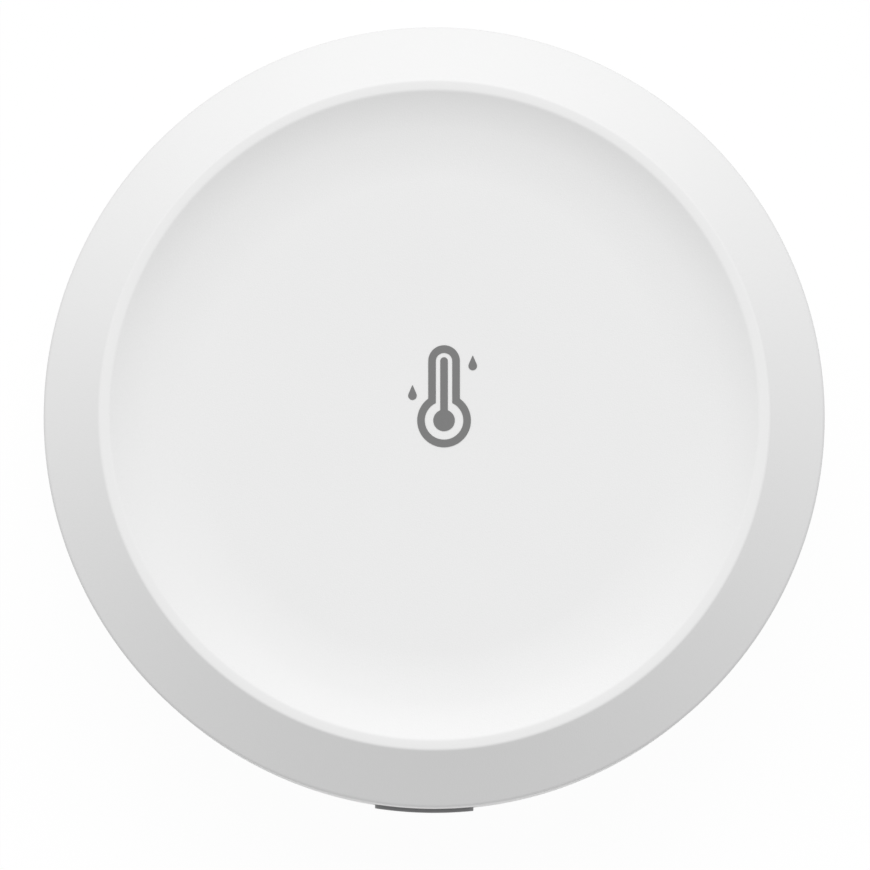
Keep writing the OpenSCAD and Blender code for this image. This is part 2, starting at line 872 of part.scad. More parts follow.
module chip_parts() {
    color("tan")
    for (row = [0, 1], i = [0 : chip_count - 1])
        on_front_of(
            z_board_top,
            [(i - (chip_count - 1) / 2) * chip_pitch, chip_row_y + row * chip_row_gap],
            chip_size
        );
}

// Status light, which shines through the thin spot of the face over its guide

module status_led() {
    color("ivory") on_front_of(z_board_top, led_at, led_size);
}

module light_guide() {
    guide_z = z_board_top + led_size[2] + fit;
    color("azure")
    translate([led_at[0], led_at[1], guide_z]) cylinder(d = guide_d, h = z_floor - led_skin - fit - guide_z);
}

// Pairing key and the switch that it presses; key and plunger move along Y

module key_switch() {
    pocket_l = plunger_tail + key_travel + fit;
    color("black")
    translate([key_shift, -switch_face_y, z_switch])
        difference() {
            translate([0, switch_depth / 2, 0])
                cube([switch_w, switch_depth, switch_h], center = true);
            translate([0, (pocket_l - past) / 2, 0])
                cube([plunger_w + 2 * fit, pocket_l + past, plunger_h + 2 * fit], center = true);
        }
}

module switch_plunger() {
    whole_l = plunger_l + plunger_tail;
    color("dimgray")
    translate([key_shift, whole_l / 2 - stem_tip_y, z_switch])
        cube([plunger_w, whole_l, plunger_h], center = true);
}

module ring(r_in, r_out) {
    difference() {
        cylinder(r = r_out, h = z_lip);
        translate([0, 0, -past]) cylinder(r = r_in, h = z_lip + 2 * past);
    }
}

module key_cap() {
    intersection() {
        wall_hole(key_shift, z_key) rounded_bar(key_w, key_h, key_corner);
        ring(flange_out_r - overlap, housing_r + key_proud);
    }
}

// A flange behind the wall, and an arm from it up to the stem
module key_flange() {
    arm_top = z_switch + stem_h;
    intersection() {
        union() {
            translate([key_shift, -housing_r / 2, z_key])
                cube([flange_w, housing_r, flange_h], center = true);
            translate([key_shift - arm_w / 2, -housing_r, z_key])
                cube([arm_w, housing_r, arm_top - z_key]);
        }
        ring(flange_in_r, flange_out_r);
    }
}

module pairing_key() {
    stem_whole = stem_l + flange_t / 2;
    color("gray") {
        key_cap();
        key_flange();
        translate([key_shift, -stem_tip_y - stem_whole / 2, z_switch])
            cube([stem_w, stem_whole, stem_h], center = true);
    }
}

// Four screws that hold the tray and the board to the shell's bosses

module case_screw() {
    difference() {
        union() {
            translate([0, 0, -head_h]) cylinder(d = head_d, h = head_h);
            translate([0, 0, -overlap]) cylinder(d = screw_d, h = screw_l + overlap);
        }
        for (arm = [[cross_l, cross_w], [cross_w, cross_l]])
            translate([-arm[0] / 2, -arm[1] / 2, -head_h - past])
                cube([arm[0], arm[1], cross_depth + past]);
    }
}

module case_screws() {
    color("silver")
    for (p = screw_places)
        translate([p[0], p[1], z_tray_floor]) case_screw();
}

front_shell();
symbol_print();
rear_cover();
adhesive_disc();
battery_tray();
upper_cell();
lower_cell();
bridge_contact();
negative_contact();
positive_contact();
circuit_board();
radio_board();
radio_chip();
radio_shield();
humidity_sensor();
supply_capacitor();
power_chip();
chip_parts();
status_led();
light_guide();
key_switch();
switch_plunger();
pairing_key();
case_screws();
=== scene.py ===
import math

import bmesh
import bpy
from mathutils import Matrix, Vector


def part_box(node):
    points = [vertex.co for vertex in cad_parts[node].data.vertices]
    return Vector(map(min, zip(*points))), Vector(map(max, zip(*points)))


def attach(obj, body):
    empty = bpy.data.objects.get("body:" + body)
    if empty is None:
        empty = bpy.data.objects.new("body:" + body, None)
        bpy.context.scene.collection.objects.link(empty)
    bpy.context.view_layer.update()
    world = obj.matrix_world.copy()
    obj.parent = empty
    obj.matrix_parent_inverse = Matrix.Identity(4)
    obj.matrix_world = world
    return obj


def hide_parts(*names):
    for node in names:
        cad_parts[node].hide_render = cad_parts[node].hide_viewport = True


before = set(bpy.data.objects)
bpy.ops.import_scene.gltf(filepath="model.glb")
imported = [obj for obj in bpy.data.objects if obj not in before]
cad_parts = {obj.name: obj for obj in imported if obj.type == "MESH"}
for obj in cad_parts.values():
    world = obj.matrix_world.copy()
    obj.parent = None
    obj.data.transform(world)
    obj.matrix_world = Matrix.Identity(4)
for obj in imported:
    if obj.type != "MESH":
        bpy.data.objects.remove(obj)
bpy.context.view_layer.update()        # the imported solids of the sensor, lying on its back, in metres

# Front shell: the white face and side wall in one satin moulding of ABS.
# The dished face, lip and bevel are turned; slots for air and for the key go through the wall,
# and screw bosses, board posts and bayonet tabs stand inside.
MM = 0.001
ROUND_STEPS, HUB_R = 256, 1 * MM    # steps round a large turned piece, and the size of its flat middle
shell_low, shell_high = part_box("front_shell")
housing_r, z_rear, z_lip = shell_high.x, shell_low.z, shell_high.z
side_wall, face_wall = 2 * MM, 1.8 * MM
bevel_w, bevel_slope = 4.5 * MM, math.radians(40)
lip_w, lip_ease, shoulder_ease = 0.8 * MM, 0.14 * MM, 0.3 * MM
dish_run, dish_foot_arc, floor_inset = 7.05 * MM, 24 * MM, 0.3 * MM
dish_rim_run, dish_rim_arc = 3.05 * MM, 11 * MM
rear_chamfer, edge_ease = 0.4 * MM, 0.12 * MM
bore_r, lip_out_r = housing_r - side_wall, housing_r - bevel_w
lip_in_r = lip_out_r - lip_w
dish_flat_r = lip_in_r - dish_run
foot_sweep = math.asin((dish_run - dish_rim_run) / dish_foot_arc)
rim_sweep = math.asin(math.sin(foot_sweep) + dish_rim_run / dish_rim_arc)
foot_rise = dish_foot_arc * (1 - math.cos(foot_sweep))
rim_rise = dish_rim_arc * (math.cos(foot_sweep) - math.cos(rim_sweep))
z_floor = z_lip - foot_rise - rim_rise
z_face_in = z_floor - face_wall
z_shoulder = z_lip - bevel_w * math.tan(bevel_slope)
z_bore_top = z_shoulder - side_wall * (1 - math.sin(bevel_slope)) / math.cos(bevel_slope)


def deselect():
    """Leaves nothing selected, so that an operator meets only the piece in hand."""
    if bpy.context.object and bpy.context.object.mode != "OBJECT":
        bpy.ops.object.mode_set(mode="OBJECT")
    bpy.ops.object.select_all(action="DESELECT")


def pick(piece):
    """Makes one piece the selected and active one."""
    deselect()
    piece.select_set(True)
    bpy.context.view_layer.objects.active = piece


def settle(piece):
    """Puts a piece's place into its mesh, with its object at the origin."""
    pick(piece)
    bpy.ops.object.transform_apply(location=True, rotation=True, scale=True)
    return piece


def arc(mid, radius, start, end, steps):
    """Points (radius, height) along an arc, by the angle from straight down."""
    angles = [start + (end - start) * k / steps for k in range(steps + 1)]
    return [(mid[0] + radius * math.sin(a), mid[1] - radius * math.cos(a)) for a in angles]


def eased(corners, steps=5):
    """An outline of (radius, height) from corners (radius, height, ease), each rounded over its ease."""
    outline = []
    for i, (r, z, ease) in enumerate(corners):
        corner = Vector((r, z))
        if not ease:
            outline.append(corner)
            continue
        start = corner + (Vector(corners[i - 1][:2]) - corner).normalized() * ease
        end = corner + (Vector(corners[i + 1][:2]) - corner).normalized() * ease
        for k in range(steps + 1):
            t = k / steps
            outline.append(start.lerp(corner, t).lerp(corner.lerp(end, t), t))
    return outline


def turned(outline, steps=ROUND_STEPS):
    """A solid of revolution: a disc drawn out ring by ring along an outline of (radius, height)."""
    deselect()
    radius, height = outline[0]
    bpy.ops.mesh.primitive_circle_add(
        vertices=steps, radius=radius, fill_type="NGON", location=(0, 0, height)
    )
    piece = bpy.context.object
    bpy.ops.object.mode_set(mode="EDIT")
    for (r0, z0), (r1, z1) in zip(outline, outline[1:]):
        bpy.ops.mesh.extrude_region_move(TRANSFORM_OT_translate={"value": (0, 0, z1 - z0)})
        bpy.ops.transform.resize(value=(r1 / r0, r1 / r0, 1))
    bpy.ops.mesh.select_all(action="SELECT")
    bpy.ops.mesh.normals_make_consistent(inside=False)
    return settle(piece)


# The outline runs from the dish's floor over the lip and the bevel, and back inside to the face's underside.
foot_mid = (dish_flat_r, z_floor + dish_foot_arc)
arc_step = dish_foot_arc - dish_rim_arc
rim_mid = (dish_flat_r + arc_step * math.sin(foot_sweep), foot_mid[1] - arc_step * math.cos(foot_sweep))
dish_foot = arc(foot_mid, dish_foot_arc, 0, foot_sweep, 14)
dish_wall = dish_foot + arc(rim_mid, dish_rim_arc, foot_sweep, rim_sweep, 16)[1:]
under_arc = dish_foot_arc + face_wall
slope_out, slope_up = math.sin(bevel_slope), math.cos(bevel_slope)
bevel_inside = lip_out_r * slope_out + z_lip * slope_up - side_wall
under_reach = foot_mid[0] * slope_out + foot_mid[1] * slope_up - bevel_inside
underside = arc(foot_mid, under_arc, math.acos(under_reach / under_arc) - bevel_slope, 0, 24)
rim = eased([
    (*dish_wall[-2], 0),
    (lip_in_r, z_lip, lip_ease),
    (lip_out_r, z_lip, lip_ease),
    (housing_r, z_shoulder, shoulder_ease),
    (housing_r, z_rear + rear_chamfer, edge_ease),
    (housing_r - rear_chamfer, z_rear, edge_ease),
    (bore_r, z_rear, edge_ease),
    (bore_r, z_bore_top, 0),
    (*underside[0], 0),
])
floor_edge = (dish_flat_r - floor_inset, z_floor)
shell = turned([floor_edge, *dish_wall[:-2], *rim, *underside[1:], (HUB_R, z_face_in)])

SLIVER = 0.001 * MM    # points that lie closer than this are merged


def rod(radius, z0, z1, at, steps=48):
    """An upright cylinder between two heights."""
    deselect()
    bpy.ops.mesh.primitive_cylinder_add(
        vertices=steps, radius=radius, depth=z1 - z0, location=(at[0], at[1], (z0 + z1) / 2)
    )
    return settle(bpy.context.object)


def moved(piece, at=(0, 0, 0), turn=(0, 0, 0)):
    """Turns a settled piece about X, Y and Z, in radians, and then shifts it."""
    piece.location, piece.rotation_euler = at, turn
    return settle(piece)


def edit_whole(piece):
    """Goes into edit mode with the whole of a piece selected."""
    pick(piece)
    bpy.ops.object.mode_set(mode="EDIT")
    bpy.ops.mesh.select_all(action="SELECT")


def sector(r_in, r_out, z0, z1, start, span, steps=24):
    """A block that follows the wall round between two radii and heights, by degrees from +X."""
    deselect()
    bpy.ops.mesh.primitive_plane_add(
        size=1, location=((r_in + r_out) / 2, 0, (z0 + z1) / 2), rotation=(math.pi / 2, 0, 0)
    )
    piece = bpy.context.object
    piece.scale = (r_out - r_in, z1 - z0, 1)
    edit_whole(settle(piece))
    bpy.ops.mesh.spin(steps=steps, angle=math.radians(span), center=(0, 0, 0), axis=(0, 0, 1))
    bpy.ops.mesh.select_all(action="SELECT")
    bpy.ops.mesh.remove_doubles(threshold=SLIVER)
    bpy.ops.mesh.normals_make_consistent(inside=False)
    bpy.ops.object.mode_set(mode="OBJECT")
    first = min(math.atan2(v.co.y, v.co.x) for v in piece.data.vertices)
    return moved(piece, turn=(0, 0, math.radians(start) - first))


def combine(piece, tools, operation):
    """Joins tools onto a piece (UNION), cuts them out (DIFFERENCE) or keeps what they share (INTERSECT)."""
    for tool in tools:
        pick(piece)
        step = piece.modifiers.new(operation, "BOOLEAN")
        step.operation, step.solver, step.object = operation, "EXACT", tool
        bpy.ops.object.modifier_apply(modifier=step.name)
        bpy.data.objects.remove(tool)
    edit_whole(piece)
    bpy.ops.mesh.remove_doubles(threshold=SLIVER)
    bpy.ops.mesh.dissolve_degenerate(threshold=SLIVER)
    bpy.ops.object.mode_set(mode="OBJECT")
    return piece


def repeated(piece, places=((0, 0, 0),), turns=((0, 0, 0),)):
    """Copies of a piece, each with its own mesh, in every turn at every place; the first piece goes."""
    copies = []
    for at in places:
        for turn in turns:
            pick(piece)
            bpy.ops.object.duplicate(linked=False)
            copies.append(moved(bpy.context.object, at, turn))
    bpy.data.objects.remove(piece)
    return copies


def about_axis(angles):
    """Turns about the housing's axis, from angles in degrees."""
    return [(0, 0, math.radians(angle)) for angle in angles]


# The bosses, the posts, and the tabs with a stop beside each, are joined onto the wall and the face.
board_low, board_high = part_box("circuit_board")
cover_low, cover_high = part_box("rear_cover")
screws_low, screws_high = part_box("case_screws")
screw_head_r, boss_r, boss_in = 1.9 * MM, 2.2 * MM, 1.4 * MM
post_r, post_x, post_y, post_in = 1.5 * MM, 16.5 * MM, 8 * MM, 0.8 * MM
board_lift = 0.7 * MM
z_tray_top = board_low.z - board_lift
screw_x, screw_y = screws_high.x - screw_head_r, screws_high.y - screw_head_r
corners = [(x, y) for x in (-1, 1) for y in (-1, 1)]
screw_places = [(x * screw_x, y * screw_y) for x, y in corners]
bosses = [rod(boss_r, z_tray_top, z_face_in + boss_in, at) for at in screw_places]
posts = [rod(post_r, board_high.z, z_face_in + post_in, (x * post_x, y * post_y)) for x, y in corners]

tab_angles, lug_span, stop_gap, stop_span = (90, 210, 330), 14, 0.4, 2.2
tab_reach, tab_root, tab_t, stop_root, twist_gap = 1.2 * MM, 0.6 * MM, 1.2 * MM, 0.2 * MM, 0.2 * MM
tab_in_r, tab_out_r, z_tab_top = bore_r - tab_reach, bore_r + tab_root, z_rear + tab_t
tab_span, stop_from = lug_span + 2 * stop_gap + stop_span, lug_span / 2 + stop_gap
tab = sector(tab_in_r, tab_out_r, z_rear, z_tab_top, -lug_span / 2, tab_span)
stop = sector(tab_in_r, tab_out_r, z_tab_top - stop_root, cover_high.z, stop_from, stop_span)
tabs, stops = (repeated(piece, turns=about_axis(tab_angles)) for piece in (tab, stop))
combine(shell, bosses + posts + tabs + stops, "UNION")

# The vents, the key's slot, the screws' pilot holes, the light guide's pocket and an index notch are cut out.
PAST = 1 * MM    # how far a cutter goes past what it cuts
key_low, key_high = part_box("pairing_key")
led_low, led_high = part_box("status_led")
guide_low, guide_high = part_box("light_guide")
vent_count, vent_w, vent_l, vent_pitch, vent_angle = 5, 1.2 * MM, 7 * MM, 5.5, 60
vent_round, z_vent = vent_w * 0.499, (cover_high.z + board_low.z) / 2
key_w, key_h, key_corner, key_gap, flange_lap = 7.9 * MM, 2.4 * MM, 0.7 * MM, 0.15 * MM, 0.35 * MM
flange_h = key_h + 2 * (key_gap + flange_lap)
key_shift, z_key = (key_low.x + key_high.x) / 2, key_low.z + flange_h / 2
pilot_r, pilot_depth, guide_play = 1.025 * MM, 3.9 * MM, 0.05 * MM
led_at = ((led_low.x + led_high.x) / 2, (led_low.y + led_high.y) / 2)
notch_r, notch_depth, notch_angle = 0.8 * MM, 0.6 * MM, 50


def block(corner, opposite):
    """A box between two corners, as a start for a piece or a tool."""
    deselect()
    low, high = Vector(map(min, corner, opposite)), Vector(map(max, corner, opposite))
    bpy.ops.mesh.primitive_cube_add(size=1, location=(low + high) / 2)
    bpy.context.object.scale = high - low
    return settle(bpy.context.object)


def select_where(piece, kind, wanted):
    """Goes into edit mode with just the edges (EDGE) or faces (FACE) selected that pass a test."""
    pick(piece)
    bpy.ops.object.mode_set(mode="EDIT")
    bpy.ops.mesh.select_mode(type=kind)
    bpy.ops.mesh.select_all(action="DESELECT")
    mesh = bmesh.from_edit_mesh(piece.data)
    for part in mesh.edges if kind == "EDGE" else mesh.faces:
        if wanted(part):
            part.select_set(True)
    mesh.select_flush_mode()
    bmesh.update_edit_mesh(piece.data)


def bevelled(piece, wanted, width, segments=3, profile=0.5):
    """Rounds the edges of a piece that pass a test."""
    select_where(piece, "EDGE", wanted)
    bpy.ops.mesh.bevel(
        offset=width, segments=segments, profile=profile, affect="EDGES", clamp_overlap=True
    )
    bpy.ops.object.mode_set(mode="OBJECT")
    return piece


def runs(edge, axis):
    """Whether an edge runs along an axis, x, y or z."""
    way = (edge.verts[1].co - edge.verts[0].co).normalized()
    return abs(getattr(way, axis)) > 0.9


def wall_tool(width, height, corner, x, z):
    """A cutter with round corners that goes in through the side wall, on the key's side."""
    tool = block(
        (x - width / 2, -housing_r - PAST, z - height / 2),
        (x + width / 2, PAST - bore_r, z + height / 2),
    )
    return bevelled(tool, lambda e: runs(e, "y"), corner, 8)


def index_notches(edge_r, z, angles):
    """Cutters for half-round notches across an edge, which show whether the housing is locked."""
    deselect()
    bpy.ops.mesh.primitive_cylinder_add(
        vertices=48, radius=notch_r, depth=notch_depth + PAST,
        location=(edge_r + (PAST - notch_depth) / 2, 0, z), rotation=(0, math.pi / 2, 0)
    )
    return repeated(settle(bpy.context.object), turns=about_axis(angles))


def joined(shapes):
    """Several separate shapes as one object."""
    deselect()
    for shape in shapes:
        shape.select_set(True)
    bpy.context.view_layer.objects.active = shapes[0]
    bpy.ops.object.join()
    return shapes[0]


vent_turns = [
    side * vent_angle + (i - (vent_count - 1) / 2) * vent_pitch
    for side in (-1, 1) for i in range(vent_count)
]
cuts = repeated(wall_tool(vent_w, vent_l, vent_round, 0, z_vent), turns=about_axis(vent_turns))
cuts.append(wall_tool(key_w + 2 * key_gap, key_h + 2 * key_gap, key_corner + key_gap, key_shift, z_key))
cuts += [rod(pilot_r, z_tray_top - PAST, z_tray_top + pilot_depth, at) for at in screw_places]
cuts.append(rod(guide_high.x + guide_play, z_face_in - PAST, guide_high.z + guide_play, led_at))
cuts += index_notches(housing_r, z_rear, [notch_angle])
combine(shell, [joined(cuts)], "DIFFERENCE")

# The edges of the slots are rounded where they open in the wall.
NEAR = 0.01 * MM    # an edge or face this close to a wall or a height counts as on it
slot_ease = 0.12 * MM


def middle(edge):
    """The point half-way along an edge."""
    return (edge.verts[0].co + edge.verts[1].co) / 2


def is_sharp(edge, degrees=30):
    """Whether the faces of an edge meet at more than an angle."""
    return len(edge.link_faces) == 2 and edge.calc_face_angle() > math.radians(degrees)


def opens_wall(edge):
    """Whether an edge is one where a slot meets the outside of the side wall."""
    on_wall = all(abs(v.co.xy.length - housing_r) < NEAR for v in edge.verts)
    return on_wall and is_sharp(edge, 50) and z_rear + notch_r < middle(edge).z < z_shoulder - shoulder_ease


bevelled(shell, opens_wall, slot_ease, 2)


def reckon(tree, operation, *values):
    """A Math node in a shader tree; each value is a number or the output of another node."""
    step = tree.nodes.new("ShaderNodeMath")
    step.operation = operation
    for socket, value in zip(step.inputs, values):
        if isinstance(value, (int, float)):
            socket.default_value = value
        else:
            tree.links.new(value, socket)
    return step.outputs[0]


def surface_grain():
    """Shader group: a surface's fine grain, longer along an axis if asked, and its slow drift in tone."""
    group = bpy.data.node_groups.new("surface_grain", "ShaderNodeTree")
    colour, roughness = ("Colour", "Color"), ("Roughness", "Float")
    for way, sockets in (
        ("INPUT", (colour, roughness, ("Grain scale", "Vector"), ("Drift", "Float"))),
        ("OUTPUT", (colour, roughness, ("Height", "Float"))),
    ):
        for name, kind in sockets:
            group.interface.new_socket(name, in_out=way, socket_type="NodeSocket" + kind)
    nodes, wire = group.nodes, group.links.new
    enter, leave = nodes.new("NodeGroupInput"), nodes.new("NodeGroupOutput")
    place, scaled = nodes.new("ShaderNodeTexCoord"), nodes.new("ShaderNodeVectorMath")
    scaled.operation = "MULTIPLY"
    wire(place.outputs["Object"], scaled.inputs[0])
    wire(enter.outputs["Grain scale"], scaled.inputs[1])
    noises = []
    for source, scale, detail in ((scaled.outputs[0], 1, 2), (place.outputs["Object"], 140, 3)):
        noise = nodes.new("ShaderNodeTexNoise")
        noise.inputs["Scale"].default_value, noise.inputs["Detail"].default_value = scale, detail
        wire(source, noise.inputs["Vector"])
        noises.append(noise.outputs["Fac"])
    grain, drift = noises
    spread = reckon(group, "MULTIPLY", drift, enter.outputs["Drift"])
    tone = nodes.new("ShaderNodeHueSaturation")
    wire(reckon(group, "SUBTRACT", 1, spread), tone.inputs["Value"])
    wire(enter.outputs["Colour"], tone.inputs["Color"])
    wire(tone.outputs["Color"], leave.inputs["Colour"])
    wire(reckon(group, "ADD", enter.outputs["Roughness"], spread), leave.inputs["Roughness"])
    wire(grain, leave.inputs["Height"])
    return group


grain_group = surface_grain()


def grained(name, colour, roughness, grain, depth, drift, plain):
    """A material with a grain: its size along each axis and its depth, in mm, and the drift of its tone.

    The plain values go on the shader's own sockets, and are the same all over the surface.
    """
    material = bpy.data.materials.new(name)
    material.use_nodes = True
    nodes, wire = material.node_tree.nodes, material.node_tree.links.new
    surface = nodes["Principled BSDF"]
    texture, bump = nodes.new("ShaderNodeGroup"), nodes.new("ShaderNodeBump")
    texture.node_tree = grain_group
    texture.inputs["Colour"].default_value = (*colour, 1)
    texture.inputs["Roughness"].default_value = roughness
    texture.inputs["Grain scale"].default_value = [1 / (size * MM) for size in grain]
    texture.inputs["Drift"].default_value = drift
    bump.inputs["Strength"].default_value = 1
    bump.inputs["Distance"].default_value = depth * MM
    wire(texture.outputs["Colour"], surface.inputs["Base Color"])
    wire(texture.outputs["Roughness"], surface.inputs["Roughness"])
    wire(texture.outputs["Height"], bump.inputs["Height"])
    wire(bump.outputs["Normal"], surface.inputs["Normal"])
    for socket, value in plain.items():
        surface.inputs[socket].default_value = value
    return material


def moulded(name, colour, roughness, grain, depth, drift, specular=0.5, others=()):
    """A moulded or cast material with its own colour and gloss, and the fine grain of its mould."""
    plain = {"Specular IOR Level": specular, **dict(others)}
    return grained(name, colour, roughness, (grain,) * 3, depth, drift, plain)


def finished(piece, name, material, slot, *nodes, body="housing", smooth=30):
    """Names and smooths a piece, and gives it its finish, body and the nodes that it stands for; the slot is
    not used.
    """
    piece.name = name
    edit_whole(piece)
    bpy.ops.mesh.remove_doubles(threshold=SLIVER)
    bpy.ops.object.mode_set(mode="OBJECT")
    bpy.ops.object.shade_smooth_by_angle(angle=math.radians(smooth))
    weigh = piece.modifiers.new("weigh", "WEIGHTED_NORMAL")
    weigh.keep_sharp = True
    bpy.ops.object.modifier_apply(modifier=weigh.name)
    piece.data.materials.clear()
    piece.data.materials.append(material)
    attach(piece, body)
    if nodes:
        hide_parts(*nodes)


white_shell = moulded("white_shell", (0.83, 0.83, 0.83), 0.5, 0.12, 0.007, 0.015, specular=0.3)
finished(shell, "front_shell_moulding", white_shell, "white_shell", "front_shell")

# Symbol: a thermometer and two drops, pad-printed on the dish's floor in one pass.
# Matt grey ink, a twentieth of a millimetre thick, with a softly rounded edge.
ink_low, ink_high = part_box("symbol_print")
bulb_r, tube_r, tube_top, stroke = 2.125 * MM, 1.25 * MM, 5.95 * MM, 0.6 * MM
fill_r, fill_top = 0.85 * MM, 5 * MM
drop_r, drop_h, drop_point_r, ink_ease = 0.34 * MM, 1.15 * MM, 0.03 * MM, 0.015 * MM
drop_shifts = ((-2.5 * MM, 2.2 * MM), (2.27 * MM, 4.55 * MM))
bulb_x, bulb_y = ink_low.x + drop_r - drop_shifts[0][0], ink_low.y + bulb_r


def merge_flat(angle=math.radians(0.5)):
    """Joins the triangles of flat stretches into whole faces, and leaves edit mode."""
    bpy.ops.mesh.dissolve_limited(angle_limit=angle)
    bpy.ops.object.mode_set(mode="OBJECT")


def tapered_bar(z0, z1, *ends):
    """A flat bar between two round ends, each an x, y and radius, with straight sides that touch both."""
    bar = joined([rod(radius, z0, z1, (x, y), 96) for x, y, radius in ends])
    edit_whole(bar)
    bpy.ops.mesh.convex_hull()
    merge_flat()
    return bar


def thermometer(bulb, tube, top, z0, z1):
    """A flat thermometer with a round bulb and tube, as radii and a height over the bulb's middle."""
    tube_bar = tapered_bar(z0, z1, (bulb_x, bulb_y, tube), (bulb_x, bulb_y + top - tube, tube))
    return combine(rod(bulb, z0, z1, (bulb_x, bulb_y), 128), [tube_bar], "UNION")


def drop(x, y):
    """A flat drop: a circle that runs out to a fine point above it."""
    point = (x, y + drop_h / 2 - drop_point_r, drop_point_r)
    return tapered_bar(ink_low.z, ink_high.z, (x, y + drop_r - drop_h / 2, drop_r), point)


ring = thermometer(bulb_r, tube_r, tube_top, ink_low.z, ink_high.z)
hole_sizes = (bulb_r - stroke, tube_r - stroke, tube_top - stroke)
combine(ring, [thermometer(*hole_sizes, ink_low.z - PAST, ink_high.z + PAST)], "DIFFERENCE")
column = thermometer(fill_r, stroke / 2, fill_top, ink_low.z, ink_high.z)
symbol = joined([ring, column] + [drop(bulb_x + x, bulb_y + y) for x, y in drop_shifts])
bevelled(symbol, lambda e: is_sharp(e, 60) and middle(e).z > ink_high.z - ink_ease, ink_ease, 2)
grey_ink = moulded("grey_ink", (0.19, 0.19, 0.19), 0.55, 0.1, 0.001, 0.05, specular=0.3)
finished(symbol, "symbol_ink", grey_ink, "grey_ink", "symbol_print")

# Light guide: a short rod of clear polycarbonate, pressed into the blind pocket behind the face.
# Its lower end is a shallow lens over the status light.
guide_r, guide_hub_r, guide_ease = guide_high.x, 0.25 * MM, 0.12 * MM
lens_r, lens_h, lens_sag, lens_ease = guide_r * 0.6, 0.2 * MM, 0.06 * MM, 0.1 * MM
guide = turned(eased([
    (guide_hub_r, guide_low.z, 0),
    (lens_r, guide_low.z + lens_sag, 0),
    (guide_r, guide_low.z + lens_h, lens_ease),
    (guide_r, guide_high.z, guide_ease),
    (guide_hub_r, guide_high.z, 0),
]), 96)
moved(guide, (*led_at, 0))
clear_plastic = moulded("clear_plastic", (0.9, 0.94, 0.96), 0.06, 0.4, 0.0005, 0.02,
                        others={"Transmission Weight": 0.9, "IOR": 1.58})
finished(guide, "light_guide_rod", clear_plastic, "clear_plastic", "light_guide")

# Pairing key: a narrow cap in the side wall, moulded in satin ABS; its grey is partly the cap's own colour
# and partly painted shade, for the shade it lies in below the housing's rim.
# Its face follows the housing's curve; a flange behind the wall keeps it in, and an arm runs up to the stem
# that presses the switch.
flange_gap, flange_t, blank_in = 0.15 * MM, 1.2 * MM, 5 * MM
flange_out_r = bore_r - flange_gap
flange_in_r = flange_out_r - flange_t
key_out_r, key_ease, key_bow, key_root = -key_low.y, 0.25 * MM, 0.35 * MM, 0.2 * MM
arm_w, stem_w, stem_h, stem_ease = 5 * MM, 3 * MM, 1.2 * MM, 0.12 * MM
switch_low, switch_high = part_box("key_switch")
z_switch = (switch_low.z + switch_high.z) / 2


def full_round(radius):
    """A cylinder on the housing's axis, as tall as the housing."""
    return rod(radius, 0, z_lip, (0, 0), 512)


cap = block((key_shift - key_w / 2, -key_out_r - PAST, z_key - key_h / 2),
            (key_shift + key_w / 2, key_root - flange_out_r, z_key + key_h / 2))
bevelled(cap, lambda e: runs(e, "y"), key_corner, 8)
combine(cap, [full_round(key_out_r)], "INTERSECT")
bevelled(cap, lambda e: is_sharp(e, 50) and middle(e).y < key_bow - housing_r, key_ease, 5)
flange = block((key_low.x, -housing_r, key_low.z), (key_high.x, blank_in - bore_r, key_low.z + flange_h))
arm = block((key_shift - arm_w / 2, -housing_r, z_key),
            (key_shift + arm_w / 2, blank_in - bore_r, key_high.z))
combine(flange, [arm], "UNION")
combine(flange, [full_round(flange_out_r)], "INTERSECT")
combine(flange, [full_round(flange_in_r)], "DIFFERENCE")
bevelled(flange, lambda e: is_sharp(e, 50), stem_ease, 2)
stem = block((key_shift - stem_w / 2, -flange_in_r - flange_t / 2, z_switch - stem_h / 2),
             (key_shift + stem_w / 2, key_high.y, z_switch + stem_h / 2))
bevelled(stem, is_sharp, stem_ease, 2)
combine(cap, [flange, stem], "UNION")
# The key's grey is partly painted shade: darkened past its own colour to match the shade it lies in below the
# housing.
grey_key = moulded("grey_key", (0.28, 0.28, 0.285), 0.48, 0.12, 0.007, 0.03, specular=0.4)
finished(cap, "pairing_key_cap", grey_key, "grey_key", "pairing_key", body="key")

# Circuit board: a round of glass epoxy, with a sheet of copper under its green lacquer.
# It is routed back for the key, slit beside the sensor, and clamped between the tray's pads and the posts.
board_ease, weave_pitch, weave_shade, pour_margin = 0.05 * MM, 0.9 * MM, 0.12, 0.7 * MM
pour_r = board_high.x - pour_margin


def cad_copy(node):
    """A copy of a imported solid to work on, with its loose triangles merged and joined into whole faces."""
    piece = bpy.data.objects.new(node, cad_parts[node].data.copy())
    bpy.context.scene.collection.objects.link(piece)
    pick(piece)
    bpy.ops.mesh.customdata_custom_splitnormals_clear()
    edit_whole(piece)
    bpy.ops.mesh.remove_doubles(threshold=SLIVER)
    merge_flat()
    return piece


def finish_where(piece, material, wanted):
    """Gives the faces of a piece that pass a test a finish of their own."""
    piece.data.materials.append(material)
    for face in piece.data.polygons:
        if wanted(face):
            face.material_index = len(piece.data.materials) - 1


